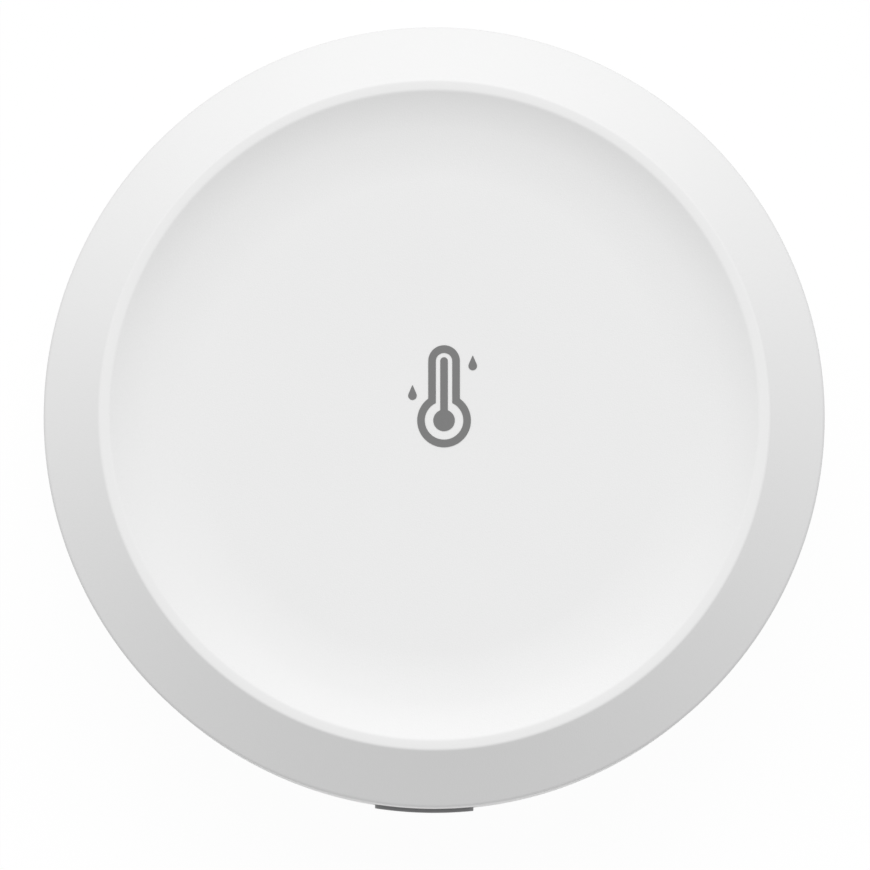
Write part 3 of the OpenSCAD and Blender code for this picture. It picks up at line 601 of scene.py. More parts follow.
def board_lacquer(name, colour, pour_colour):
    """A board's lacquer: the glass weave shows faintly, and it is lighter over the copper below it."""
    material = grained(name, colour, 0.3, (0.2, 0.2, 0.2), 0.002, 0.1, {"Specular IOR Level": 0.3})
    tree = material.node_tree
    base = tree.nodes["Principled BSDF"].inputs["Base Color"]
    place, split, mix = (tree.nodes.new("ShaderNode" + kind) for kind in ("TexCoord", "SeparateXYZ", "Mix"))
    tree.links.new(place.outputs["Object"], split.inputs[0])
    ways = split.outputs["X"], split.outputs["Y"]
    turns = 2 * math.pi / weave_pitch
    threads = [reckon(tree, "SINE", reckon(tree, "MULTIPLY", way, turns)) for way in ways]
    weave = reckon(tree, "MULTIPLY_ADD", reckon(tree, "MULTIPLY", *threads), weave_shade, 1 - weave_shade)
    squares = [reckon(tree, "MULTIPLY", way, way) for way in ways]
    poured = reckon(tree, "LESS_THAN", reckon(tree, "ADD", *squares), pour_r ** 2)
    mix.data_type = "RGBA"
    plain, shaded = (socket for socket in mix.inputs if socket.type == "RGBA")
    shaded.default_value = (*pour_colour, 1)
    tree.links.new(reckon(tree, "MULTIPLY", poured, weave), mix.inputs["Factor"])
    tree.links.new(base.links[0].from_socket, plain)
    tree.links.new(next(socket for socket in mix.outputs if socket.type == "RGBA"), base)
    return material


def is_edge(face):
    """Whether a face belongs to the sides of a board."""
    return abs(face.normal.z) < 0.5


board = bevelled(cad_copy("circuit_board"), is_sharp, board_ease, 1)
green_lacquer = board_lacquer("green_lacquer", (0.008, 0.06, 0.022), (0.01, 0.1, 0.036))
glass_epoxy = grained("glass_epoxy", (0.36, 0.33, 0.16), 0.6, (0.5, 0.5, 0.05), 0.01, 0.15, {})
finished(board, "circuit_board_laminate", green_lacquer, "green_board", "circuit_board")
finish_where(board, glass_epoxy, is_edge)

# Tracks: the etched copper strips of the main board, on both of its sides, under the same lacquer.
# They show as soft ridges and join the contacts, chips, light, radio, sensor and switch.
track_r, track_rise = 0.15 * MM, 0.04 * MM
front_tracks = (
    ((-20.6, 8.2), (-12, 8.2), (-8.8, 5), (-6.9, 5)),
    ((-20.6, -8.2), (-12.85, -8.2), (-8.95, -4.3)),
    ((-8.95, -1.7), (-8.95, -1.05), (-11, 1), (-11, 7.2)),
    ((-7.05, -4.3), (-7.05, -5.2), (-6.25, -6), (-0.9, -6)),
    ((-7.05, -1.7), (-7.05, 1.2), (-5.35, 2.9), (-5.35, 4.5)),
    ((-8, -4.3), (-8, -7.5), (-9.5, -9), (-9.5, -12.5)),
    ((0.9, -6), (3.35, -6), (5.35, -4), (5.35, 4.5)),
    ((-3.65, 5.5), (-3.65, 6.9)), ((-0.65, 5.5), (-0.65, 6.9)), ((2.35, 5.5), (2.35, 6.9)),
    ((-5.35, 7.9), (-5.35, 11), (-4.93, 11.42), (-4.93, 11.9)),
    ((-2.39, 7.9), (-2.39, 11.9)),
    ((0.65, 7.9), (0.65, 11), (0.15, 11.5), (0.15, 11.9)),
    ((3.65, 7.9), (3.65, 10.5), (2.69, 11.46), (2.69, 11.9)),
    ((-2.35, 4.5), (-2.35, 0.5), (-3.6, -0.75), (-3.6, -4.4)),
    ((0.65, 4.5), (0.65, -3.2)),
    ((3.65, 4.5), (3.65, -2.5), (2.6, -3.55)),
    ((6.65, 4.5), (6.65, -12), (7.2, -12.55), (7.2, -19.2)),
    ((6.9, 7.4), (7.2, 7.4), (8.2, 6.4), (8.2, -12), (8, -12.2), (8, -19.2)),
    ((8.6, 12), (10.2, 10.4), (10.2, -10.6), (8.8, -12), (8.8, -19.2)),
)
rear_tracks = (
    ((-6.2, 12.7), (-6.2, 11.5), (-9.5, 8.2), (-9.5, -14), (-8.25, -15.25)),
    ((-4.93, 11.9), (-4.93, 12.7)), ((-2.39, 11.9), (-2.39, 12.7)),
    ((0.15, 11.9), (0.15, 12.7)), ((2.69, 11.9), (2.69, 12.7)),
    ((-1.12, 12.7), (-1.12, -1.92), (-3.6, -4.4), (-3.6, -10), (-2, -11.6), (-2, -21.7)),
    ((1.42, 12.7), (1.42, 1), (2.6, -0.18), (2.6, -3.55)),
    ((0.65, -3.2), (0.65, -21.7)),
    ((8.6, 12), (8.6, 13.5), (7.6, 14.5)),
    ((7.2, -19.2), (7.2, -19.9)), ((8, -19.2), (8, -19.9)), ((8.8, -19.2), (8.8, -19.9)),
)


def track(points, z):
    """One track: a path drawn out point by point, given a round section and pressed flat on the board."""
    deselect()
    places = [Vector((x * MM, y * MM, z)) for x, y in points]
    bpy.ops.mesh.primitive_plane_add(size=MM, location=places[0])
    strip = bpy.context.object
    edit_whole(strip)
    bpy.ops.mesh.select_mode(type="VERT")
    bpy.ops.mesh.merge(type="CENTER")
    for here, there in zip(places, places[1:]):
        bpy.ops.mesh.extrude_region_move(TRANSFORM_OT_translate={"value": there - here})
    settle(strip)
    bpy.ops.object.convert(target="CURVE")
    strip.data.bevel_depth, strip.data.bevel_resolution, strip.data.use_fill_caps = track_r, 1, True
    bpy.ops.object.convert(target="MESH")
    edit_whole(strip)
    bpy.ops.transform.resize(value=(1, 1, track_rise / track_r), center_override=places[0])
    bpy.ops.mesh.remove_doubles(threshold=SLIVER)
    bpy.ops.mesh.normals_make_consistent(inside=False)
    return settle(strip)


sides = ((front_tracks, board_high.z), (rear_tracks, board_low.z))
tracks = joined([track(points, z) for paths, z in sides for points in paths])
track_lacquer = board_lacquer("track_lacquer", (0.018, 0.15, 0.055), (0.02, 0.17, 0.062))
finished(tracks, "circuit_board_tracks", track_lacquer, "green_board", smooth=60)

# Radio board: a small module, soldered flat to the main board by the plated half holes in its long sides.
# Its bare end carries the antenna, a winding strip of gilded copper.
radio_low, radio_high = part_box("radio_board")
half_hole_r, half_hole_pitch, half_hole_count, half_hole_first = 0.4 * MM, 1.27 * MM, 8, 1.3 * MM
radio_ease, antenna_l, antenna_margin = 0.03 * MM, 2.9 * MM, 0.6 * MM
strip_w, strip_t, strip_pitch, strip_runs = 0.5 * MM, 0.04 * MM, 1 * MM, 8
radio = block(radio_low, radio_high)
half_holes = [
    (radio_low.x + half_hole_first + i * half_hole_pitch, y)
    for y in (radio_low.y, radio_high.y) for i in range(half_hole_count)
]
hole_rods = [rod(half_hole_r, radio_low.z - PAST, radio_high.z + PAST, at, 24) for at in half_holes]
combine(radio, [joined(hole_rods)], "DIFFERENCE")
bevelled(radio, is_sharp, radio_ease, 1)
antenna_to = radio_high.x - antenna_margin
antenna_from = antenna_to - antenna_l
strip_first = (radio_low.y + radio_high.y - (strip_runs - 1) * strip_pitch) / 2
strips = []
for i in range(strip_runs):
    y = strip_first + i * strip_pitch
    strips.append(((antenna_from, y - strip_w / 2), (antenna_to, y + strip_w / 2)))
    if i + 1 < strip_runs:
        x = antenna_to - strip_w if i % 2 else antenna_from
        strips.append(((x, y - strip_w / 2), (x + strip_w, y + strip_pitch + strip_w / 2)))
z_strip, z_strip_in = radio_low.z - strip_t, radio_low.z + strip_t
combine(radio, [block((*low, z_strip), (*high, z_strip_in)) for low, high in strips], "UNION")


def plated(name, colour, roughness, grain, depth, drift):
    """A bare or plated metal, its grain drawn out along the way it was rolled or turned."""
    return grained(name, colour, roughness, grain, depth, drift, {"Metallic": 1})


def is_gilded(face):
    """Whether a face belongs to the antenna or to a half hole."""
    in_hole = any((face.center.xy - Vector(at)).length < half_hole_r + 2 * NEAR for at in half_holes)
    return in_hole or face.center.z < radio_low.z - strip_t / 4


gilded_copper = plated("gilded_copper", (0.83, 0.6, 0.25), 0.25, (0.1, 0.1, 0.1), 0.001, 0.1)
radio_lacquer = board_lacquer("radio_lacquer", (0.006, 0.035, 0.02), (0.007, 0.045, 0.026))
finished(radio, "radio_board_laminate", radio_lacquer, "green_board", "radio_board")
finish_where(radio, glass_epoxy, is_edge)
finish_where(radio, gilded_copper, is_gilded)

# Radio chip: a flat square of black resin, soldered to the radio board by the tinned pads at its sides.
# A small dimple marks its first pad.
radio_chip_low, radio_chip_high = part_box("radio_chip")
pad_w, pad_h, pad_in, pad_pitch, pads_a_side = 0.28 * MM, 0.2 * MM, 0.2 * MM, 0.55 * MM, 8
pad_proud, pad_gap, resin_ease = 0.02 * MM, 0.01 * MM, 0.06 * MM
dimple_r, dimple_inset, dimple_depth = 0.3 * MM, 0.8 * MM, 0.06 * MM
radio_chip = block(radio_chip_low, radio_chip_high)
bevelled(radio_chip, lambda e: is_sharp(e) and middle(e).z < radio_chip_high.z, resin_ease, 2)
dimple_at = (radio_chip_low.x + dimple_inset, radio_chip_high.y - dimple_inset)
dimple = rod(dimple_r, radio_chip_low.z - PAST, radio_chip_low.z + dimple_depth, dimple_at, 32)
combine(radio_chip, [dimple], "DIFFERENCE")
chip_mid = (radio_chip_low + radio_chip_high) / 2
chip_reach = (radio_chip_high.x - radio_chip_low.x) / 2 + pad_proud
z_pad, z_pad_top = radio_chip_high.z - pad_h, radio_chip_high.z - pad_gap
pad = block((chip_reach - pad_in, -pad_w / 2, z_pad), (chip_reach, pad_w / 2, z_pad_top))
pad_row = joined(repeated(pad, [(0, (i - (pads_a_side - 1) / 2) * pad_pitch, 0) for i in range(pads_a_side)]))
side_pads = repeated(pad_row, [(*chip_mid.xy, 0)], about_axis((0, 90, 180, 270)))
combine(radio_chip, [joined(side_pads)], "UNION")


def stands_out(face):
    """Whether a face belongs to a pad that stands out of the radio chip's sides."""
    off = face.center - chip_mid
    return max(abs(off.x), abs(off.y)) > chip_reach - pad_proud * 0.6


black_resin = moulded("black_resin", (0.02, 0.02, 0.021), 0.55, 0.08, 0.004, 0.1, specular=0.4)
bright_tin = plated("bright_tin", (0.72, 0.71, 0.69), 0.28, (0.15, 0.15, 0.15), 0.002, 0.15)
finished(radio_chip, "radio_chip_package", black_resin, "black_resin", "radio_chip")
finish_where(radio_chip, bright_tin, stands_out)

# Radio shield: a lid pressed from tinned sheet over the radio chip, soldered to the board along its rim.
# The bends are rounded, and the top is pressed in a little to stiffen it.
shield_low, shield_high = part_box("radio_shield")
shield_t, shield_corner, shield_bend = 0.2 * MM, 0.5 * MM, 0.3 * MM
panel_inset, panel_corner, panel_depth, panel_ease = 1.1 * MM, 0.6 * MM, 0.08 * MM, 0.064 * MM
shield = block(shield_low, shield_high)
bevelled(shield, lambda e: runs(e, "z"), shield_corner, 5)
select_where(shield, "FACE", lambda f: f.normal.z > 0.9)
bpy.ops.mesh.delete(type="FACE")
bevelled(shield, lambda e: is_sharp(e, 50) and middle(e).z < shield_low.z + NEAR, shield_bend, 4)
wall = shield.modifiers.new("wall", "SOLIDIFY")
wall.thickness, wall.offset = shield_t, -1
pick(shield)
bpy.ops.object.modifier_apply(modifier=wall.name)
panel = block((shield_low.x + panel_inset, shield_low.y + panel_inset, shield_low.z - PAST),
              (shield_high.x - panel_inset, shield_high.y - panel_inset, shield_low.z + panel_depth))
bevelled(panel, lambda e: runs(e, "z"), panel_corner, 5)
bevelled(panel, lambda e: is_sharp(e, 60) and middle(e).z > shield_low.z, panel_ease, 2)
combine(shield, [panel], "DIFFERENCE")
tinned_sheet = plated("tinned_sheet", (0.66, 0.65, 0.63), 0.3, (1.5, 0.08, 0.3), 0.002, 0.12)
finished(shield, "radio_shield_lid", tinned_sheet, "shield_sheet", "radio_shield", smooth=40)

# Humidity sensor: a small package of dark resin that measures humidity and temperature.
# Air reaches it through a round hole, closed by a pale porous film.
sensor_low, sensor_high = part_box("humidity_sensor")
sensor_mid = (sensor_low + sensor_high) / 2
sensor_hole_r, sensor_hole_depth, sensor_rim_w, sensor_ease = 0.5 * MM, 0.4 * MM, 0.14 * MM, 0.1 * MM
sensor = block(sensor_low, sensor_high)
bevelled(sensor, lambda e: is_sharp(e) and middle(e).z < sensor_high.z - NEAR, sensor_ease, 3)
film_z = sensor_low.z + sensor_hole_depth
combine(sensor, [rod(sensor_hole_r, sensor_low.z - PAST, film_z, sensor_mid.xy)], "DIFFERENCE")


def at_mouth(edge):
    """Whether an edge runs round the mouth of the sensor's hole."""
    at = middle(edge)
    near_hole = (at - sensor_mid).xy.length < sensor_hole_r + sensor_rim_w
    return near_hole and is_sharp(edge, 60) and at.z < sensor_low.z + NEAR


bevelled(sensor, at_mouth, sensor_rim_w, 3)
porous_film = moulded("porous_film", (0.72, 0.72, 0.69), 0.8, 0.03, 0.01, 0.1, specular=0.2)
finished(sensor, "humidity_sensor_package", black_resin, "black_resin", "humidity_sensor")
finish_where(sensor, porous_film, lambda f: f.normal.z < -0.9 and abs(f.center.z - film_z) < NEAR)

# Supply capacitor: a drawn aluminium can with a rolled neck, on a square base of black resin.
# Two corners of the base are cut off, and a dark field on the can's end marks the negative side.
capacitor_low, capacitor_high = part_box("supply_capacitor")
capacitor_mid = (capacitor_low + capacitor_high) / 2
can_r, can_hub_r, can_ease, neck_ease, can_in = 2.5 * MM, 0.25 * MM, 0.4 * MM, 0.2 * MM, 0.1 * MM
neck_depth, neck_h, base_h, base_cut, base_ease = 0.25 * MM, 0.5 * MM, 0.8 * MM, 0.9 * MM, 0.08 * MM
z_base, mark_x = capacitor_high.z - base_h, capacitor_mid.x - can_r * 0.45
can = turned(eased([
    (can_hub_r, capacitor_low.z, 0),
    (can_r, capacitor_low.z, can_ease),
    (can_r, z_base - 3 * neck_h, neck_ease),
    (can_r - neck_depth, z_base - 2.3 * neck_h, neck_ease),
    (can_r - neck_depth, z_base - 1.9 * neck_h, neck_ease),
    (can_r, z_base - 1.2 * neck_h, neck_ease),
    (can_r, z_base + can_in, 0),
    (can_hub_r, z_base + can_in, 0),
]), 96)
moved(can, (*capacitor_mid.xy, 0))
select_where(can, "FACE", lambda f: f.normal.z < -0.99)
bpy.ops.mesh.bisect(plane_co=(mark_x, capacitor_mid.y, 0), plane_no=(1, 0, 0))
bpy.ops.object.mode_set(mode="OBJECT")
base = block((capacitor_low.x, capacitor_low.y, z_base), capacitor_high)
bevelled(base, lambda e: runs(e, "z") and middle(e).x < capacitor_mid.x, base_cut, 1)
bevelled(base, lambda e: is_sharp(e) and middle(e).z < capacitor_high.z - NEAR, base_ease, 2)
combine(can, [base], "UNION")


def is_dark(face):
    """Whether a face belongs to the capacitor's base or to the mark on its end."""
    return face.center.z > z_base - 2 * NEAR or face.normal.z < -0.99 and face.center.x < mark_x


drawn_aluminium = plated("drawn_aluminium", (0.78, 0.79, 0.8), 0.25, (0.3, 0.3, 0.06), 0.002, 0.08)
finished(can, "supply_capacitor_can", drawn_aluminium, "capacitor_can", "supply_capacitor")
finish_where(can, black_resin, is_dark)

# Power chip: a small package of black resin with five bent leads, soldered to the front of the board.
# Its sides slope a little, so that it leaves the mould.
power_low, power_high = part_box("power_chip")
power_mid = (power_low + power_high) / 2
power_half_d, power_gap, power_draft, power_ease = power_high.y - power_mid.y, 0.1 * MM, 0.94, 0.05 * MM
lead_w, lead_t, lead_pitch = 0.4 * MM, 0.15 * MM, 0.95 * MM
lead_root, lead_out, lead_bend, lead_foot = 0.2 * MM, 0.12 * MM, 0.17 * MM, 0.35 * MM
power = block((power_low.x, power_low.y, power_low.z + power_gap), power_high)
select_where(power, "FACE", lambda f: f.normal.z > 0.9)
bpy.ops.transform.resize(value=(power_draft, power_draft, 1), center_override=power_mid)
bevelled(power, is_sharp, power_ease, 2)


def bent_leads(steps, degrees):
    """Leads that leave the chip's side at half height, bend down and end flat on the board.

    They stand at whole steps of the pitch from the chip's middle, turned in degrees from its +Y side.
    """
    lead = block((-lead_w / 2, power_half_d - lead_root, 0), (lead_w / 2, power_half_d + lead_out, lead_t))
    for shift in ((0, lead_bend, power_low.z - power_mid.z), (0, lead_foot, 0)):
        end = max(v.co.y for v in lead.data.vertices)
        select_where(lead, "FACE", lambda f: f.calc_center_median().y > end - SLIVER)
        bpy.ops.mesh.extrude_region_move(TRANSFORM_OT_translate={"value": shift})
        bpy.ops.object.mode_set(mode="OBJECT")
    places = [power_mid + Vector((i * lead_pitch, 0, 0)) for i in steps]
    return repeated(lead, places, about_axis([degrees]))


combine(power, bent_leads((-1, 0, 1), 180) + bent_leads((-1, 1), 0), "UNION")
finished(power, "power_chip_package", black_resin, "black_resin", "power_chip")
finish_where(power, bright_tin, lambda f: abs(f.center.y - power_mid.y) > power_half_d)

# Chip parts: two rows of five small blocks, capacitors of tan ceramic and resistors of white ceramic.
# Both ends of each are tinned, and the resistors have a black film on top.
chips_low, chips_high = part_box("chip_parts")
chip_w, chip_d, chip_end, chip_ease = 1.6 * MM, 0.8 * MM, 0.3 * MM, 0.06 * MM
chip_recess, chips_a_row = 0.03 * MM, 5
chip_pitch = (chips_high.x - chips_low.x - chip_w) / (chips_a_row - 1)
row_shift = chips_high.y - chips_low.y - chip_d


def chip():
    """One chip part at the origin: a ceramic body between two tinned ends, which stand a little proud."""
    high = Vector((chip_w, chip_d, chips_high.z - chips_low.z))
    recess = Vector((chip_recess,) * 3)
    ends = [block((0, 0, 0), (chip_end, high.y, high.z)), block((high.x - chip_end, 0, 0), high)]
    for end in ends:
        bevelled(end, is_sharp, chip_ease, 2)
    return combine(block(recess, high - recess), ends, "UNION")


def at_tinned_end(face):
    """Whether a face belongs to one of the ends of its chip part."""
    off = (face.center.x - chips_low.x) % chip_pitch
    return min(off, abs(chip_w - off), chip_pitch - off) < chip_end + SLIVER


chip_places = [
    chips_low + Vector((i * chip_pitch, row * row_shift, 0)) for row in (0, 1) for i in range(chips_a_row)
]
chips = joined(repeated(chip(), chip_places))
tan_ceramic = moulded("tan_ceramic", (0.34, 0.22, 0.11), 0.6, 0.05, 0.004, 0.15, specular=0.4)
white_ceramic = moulded("white_ceramic", (0.75, 0.74, 0.7), 0.5, 0.05, 0.003, 0.1, specular=0.4)
resistor_row = chips_low.y + row_shift - chip_recess
finished(chips, "chip_parts_group", tan_ceramic, "tan_ceramic", "chip_parts")
finish_where(chips, white_ceramic, lambda f: f.center.y > resistor_row)
finish_where(chips, black_resin, lambda f: f.center.y > resistor_row and f.normal.z > 0.9)
finish_where(chips, bright_tin, at_tinned_end)

# Status light: a tiny light-emitting diode, a clear lens of cast resin on a white base with tinned ends.
# It shines up into the light guide.
led_base_h, led_lens_inset, led_lens_draft, led_lens_ease = 0.25 * MM, 0.3 * MM, 0.85, 0.06 * MM
led_end_x, z_led_base = 0.7 * MM, led_low.z + led_base_h
led = block(led_low, (led_high.x, led_high.y, z_led_base))
lens = block((led_low.x + led_lens_inset, led_low.y, led_low.z + led_base_h / 2),
             (led_high.x - led_lens_inset, led_high.y, led_high.z))
select_where(lens, "FACE", lambda f: f.normal.z > 0.9)
bpy.ops.transform.resize(value=(led_lens_draft, led_lens_draft, 1), center_override=(*led_at, 0))
bevelled(lens, is_sharp, led_lens_ease, 3)
combine(led, [lens], "UNION")


def in_base(face):
    """Whether a face belongs to the light's base."""
    return face.center.z < z_led_base + SLIVER


led_resin = moulded("led_resin", (0.85, 0.83, 0.6), 0.15, 0.3, 0.001, 0.05,
                    others={"Subsurface Weight": 0.2, "Subsurface Scale": 0.3 * MM})
finished(led, "status_led_package", led_resin, "led_resin", "status_led")
finish_where(led, white_ceramic, in_base)
finish_where(led, bright_tin, lambda f: (
    in_base(f) and abs(f.normal.x) > 0.9 and abs(f.center.x - led_at[0]) > led_end_x))

# Solder: bright fillets at the ends of the chips, cones round the contact tails, beads in the radio board's
# half holes, and the tinned eyelets that take the tracks through the board.
fillet_l, fillet_root, fillet_fall, fillet_hollow = 0.34 * MM, 0.05 * MM, 0.9, 0.15
chip_fillet, led_fillet = (0.72 * MM, 0.3 * MM), (0.7 * MM, 0.2 * MM)
capacitor_fillet = (0.8 * MM, 0.2 * MM)
cone_rings = ((1, 0), (0.8, 0.08), (0.5, 0.25), (0.38, 0.42), (0.3, 0.45))
cone_stretch, tail_half_t, tail_half_w = (0.7, 1.35, 1), 0.15 * MM, 0.7 * MM
bead_rings = ((0.42, 0), (0.4, 0.18), (0.3, 0.42), (0.16, 0.56), (0.04, 0.6))
eyelet_in_r, eyelet_out_r, eyelet_rise = 0.16 * MM, 0.32 * MM, 0.05 * MM
eyelets = (
    (-9.5, -12.5), (-4.93, 11.9), (-2.39, 11.9), (0.15, 11.9), (2.69, 11.9), (7.2, -19.2), (8, -19.2),
    (8.8, -19.2), (8.6, 12), (-3.6, -4.4), (0.65, -3.2), (2.6, -3.55),
)


def fillet(width, rise):
    """A hollow fillet of solder at the foot of an end, which runs out along +X from the origin."""
    piece = block((-fillet_root, -width / 2, 0), (fillet_l, width / 2, rise))

    def at_top_end(edge):
        """Whether an edge is the top one at the far end."""
        return runs(edge, "y") and middle(edge).x > fillet_l / 2 and middle(edge).z > rise / 2

    return bevelled(piece, at_top_end, rise * fillet_fall, 4, fillet_hollow)


def in_mm(rings):
    """An outline in metres from rings (radius, height) in mm."""
    return [(r * MM, z * MM) for r, z in rings]


def tail_cone(node):
    """The cone of solder round a battery contact's tail, drawn out along the tail's width."""
    low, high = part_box(node)
    y = high.y - tail_half_w if high.y > 0 else low.y + tail_half_w
    cone = turned(in_mm(cone_rings), 48)
    cone.scale = cone_stretch
    return moved(cone, (high.x - tail_half_t, y, board_high.z))


solder = [tail_cone("negative_contact"), tail_cone("positive_contact")]
for far, turn in ((True, 0), (False, math.pi)):
    chip_ends = [at + Vector((chip_w if far else 0, chip_d / 2, 0)) for at in chip_places]
    led_end = (led_high.x if far else led_low.x, led_at[1], board_high.z)
    capacitor_end = (capacitor_high.x if far else capacitor_low.x, capacitor_mid.y, board_low.z)
    solder += repeated(fillet(*chip_fillet), chip_ends, [(0, 0, turn)])
    solder += repeated(fillet(*led_fillet), [led_end], [(0, 0, turn)])
    solder += repeated(fillet(*capacitor_fillet), [capacitor_end], [(math.pi, 0, turn)])
bead_places = [(x, y, board_low.z) for x, y in half_holes]
solder += repeated(turned(in_mm(bead_rings), 24), bead_places, [(math.pi, 0, 0)])
z_eyelet, z_eyelet_top = board_low.z - eyelet_rise, board_high.z + eyelet_rise
eyelet_hole = rod(eyelet_in_r, z_eyelet - PAST, z_eyelet_top + PAST, (0, 0), 24)
eyelet = combine(rod(eyelet_out_r, z_eyelet, z_eyelet_top, (0, 0), 24), [eyelet_hole], "DIFFERENCE")
solder += repeated(eyelet, [(x * MM, y * MM, 0) for x, y in eyelets])
finished(joined(solder), "solder_joints", bright_tin, "shield_sheet")

# Key switch: a side-pressed switch soldered behind the board, black resin under a folded steel cover.
# The plunger, of dark plastic with a rounded nose, slides in its mouth and meets the key's stem.
plunger_low, plunger_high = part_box("switch_plunger")
cover_t, cover_back, cover_up, cover_bend = 0.12 * MM, 0.25 * MM, 0.5 * MM, 0.15 * MM
switch_ease, plunger_gap, mouth_depth, nose_ease = 0.05 * MM, 0.05 * MM, 0.45 * MM, 0.3 * MM
switch = block(switch_low + Vector((cover_t, 0, cover_t)), switch_high - Vector((cover_t, 0, 0)))
bevelled(switch, is_sharp, switch_ease, 2)
steel_cover = block(switch_low + Vector((0, cover_back, 0)),
                    switch_high - Vector((0, cover_back, cover_up)))
bevelled(steel_cover, lambda e: is_sharp(e) and runs(e, "y"), cover_bend, 4)
mouth = block(plunger_low - Vector((plunger_gap, PAST, plunger_gap)),
              plunger_high + Vector((plunger_gap, mouth_depth, plunger_gap)))
combine(switch, [steel_cover], "UNION")
combine(switch, [mouth], "DIFFERENCE")
switch_mid = (switch_low + switch_high) / 2
cover_in = cover_t * 0.9
cover_from = switch_high.x - switch_mid.x - cover_in


def is_cover(face):
    """Whether a face belongs to the switch's steel cover."""
    return face.center.z < switch_low.z + cover_in or abs(face.center.x - switch_mid.x) > cover_from


rolled_steel = plated("rolled_steel", (0.6, 0.6, 0.59), 0.32, (0.08, 1.2, 0.08), 0.002, 0.1)
finished(switch, "key_switch_body", black_resin, "black_resin", "key_switch")
finish_where(switch, rolled_steel, is_cover)
plunger = block(plunger_low, plunger_high)
bevelled(plunger, lambda e: is_sharp(e) and middle(e).y < plunger_low.y + NEAR, nose_ease, 5)
bevelled(plunger, lambda e: is_sharp(e, 60), switch_ease, 2)
dark_plastic = moulded("dark_plastic", (0.035, 0.035, 0.037), 0.45, 0.1, 0.002, 0.08)
finished(plunger, "switch_plunger_nose", dark_plastic, "dark_plastic", "switch_plunger", body="key")

# Battery tray: an open bay for the two cells, moulded in plain white ABS.
# Ears take the case screws, four pads carry the board, and two slits let the contact tails through.
tray_ease = 0.12 * MM
tray = bevelled(cad_copy("battery_tray"), is_sharp, tray_ease, 2)
white_tray = moulded("white_tray", (0.74, 0.74, 0.72), 0.45, 0.2, 0.003, 0.03, specular=0.4)
finished(tray, "battery_tray_moulding", white_tray, "white_tray", "battery_tray")

# Battery contacts: three stampings of nickel-plated spring steel against the ends of the bay.
# Bowed leaves press on the negative ends and round bumps meet the nubs; one contact bridges the two cells,
# and the other two have tails that are soldered into the board.
cell_low, cell_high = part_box("upper_cell")
cell_y, z_cell = (cell_low.y + cell_high.y) / 2, (cell_low.z + cell_high.z) / 2
tray_floor_t, contact_gap = 1.2 * MM, 0.05 * MM
z_tray_floor = z_tray_top - tray_floor_t
z_contact_top = z_tray_floor - contact_gap
contact_t, contact_corner, contact_ease = 0.3 * MM, 0.5 * MM, 0.04 * MM
bow_w, bow_h, bow_rise = 5 * MM, 4.4 * MM, 2.15 * MM
bump_r, bump_rise, tail_w, tail_in = 1.5 * MM, 0.8 * MM, 1.4 * MM, 3 * MM
bow_r = (bow_h ** 2 / 4 + bow_rise ** 2) / (2 * bow_rise)
bow_half = math.degrees(math.acos(1 - bow_rise / bow_r)) - 2
nickel_plate = plated("nickel_plate", (0.69, 0.67, 0.63), 0.22, (0.6, 0.6, 0.08), 0.002, 0.12)


def bowed_leaf(wall_x, y, facing):
    """A strip bent to a bow that stands out of a contact, towards +X (1) or -X (-1)."""
    leaf = sector(bow_r - contact_t, bow_r, -bow_w / 2, bow_w / 2, -bow_half, 2 * bow_half, 32)
    turn = (math.pi / 2, 0, 0 if facing > 0 else math.pi)
    return moved(leaf, (wall_x + facing * (bow_rise - bow_r), y, z_cell), turn)


def round_bump(wall_x, y, facing):
    """A dome pressed out of a contact, towards +X (1) or -X (-1)."""
    angles = [math.radians(a) for a in range(0, 85, 7)]
    dome = turned([(bump_r * math.cos(a), bump_rise * math.sin(a)) for a in angles], 48)
    return moved(dome, (wall_x, y, z_cell), (0, facing * math.pi / 2, 0))


def contact(name, node, facing, bows, bumps, tail_side=0):
    """One stamping: a plate against the bay's end wall, with its leaves, bumps and tail."""
    low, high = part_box(node)
    wall_x = low.x if facing > 0 else high.x
    piece = block((wall_x, low.y, low.z), (wall_x + facing * contact_t, high.y, z_contact_top))
    bevelled(piece, lambda e: is_sharp(e) and runs(e, "x"), contact_corner, 4)
    extras = [bowed_leaf(wall_x, y, facing) for y in bows] + [round_bump(wall_x, y, facing) for y in bumps]
    if tail_side:
        y = high.y if tail_side > 0 else low.y
        tail_x, tail_y = wall_x + facing * tail_in, y - tail_side * tail_w
        end_x, z_foot = tail_x + facing * contact_t, z_contact_top - contact_t
        extras.append(block((wall_x, y, z_foot), (end_x, tail_y, z_contact_top)))
        extras.append(block((tail_x, y, z_foot), (end_x, tail_y, high.z)))
    combine(piece, extras, "UNION")
    bevelled(piece, lambda e: is_sharp(e, 60), contact_ease, 2)
    finished(piece, name, nickel_plate, "plated_spring_steel", node)


contact("bridge_contact_stamping", "bridge_contact", -1, (-cell_y,), (cell_y,))
contact("negative_contact_stamping", "negative_contact", 1, (cell_y,), (), 1)
contact("positive_contact_stamping", "positive_contact", 1, (), (-cell_y,), -1)

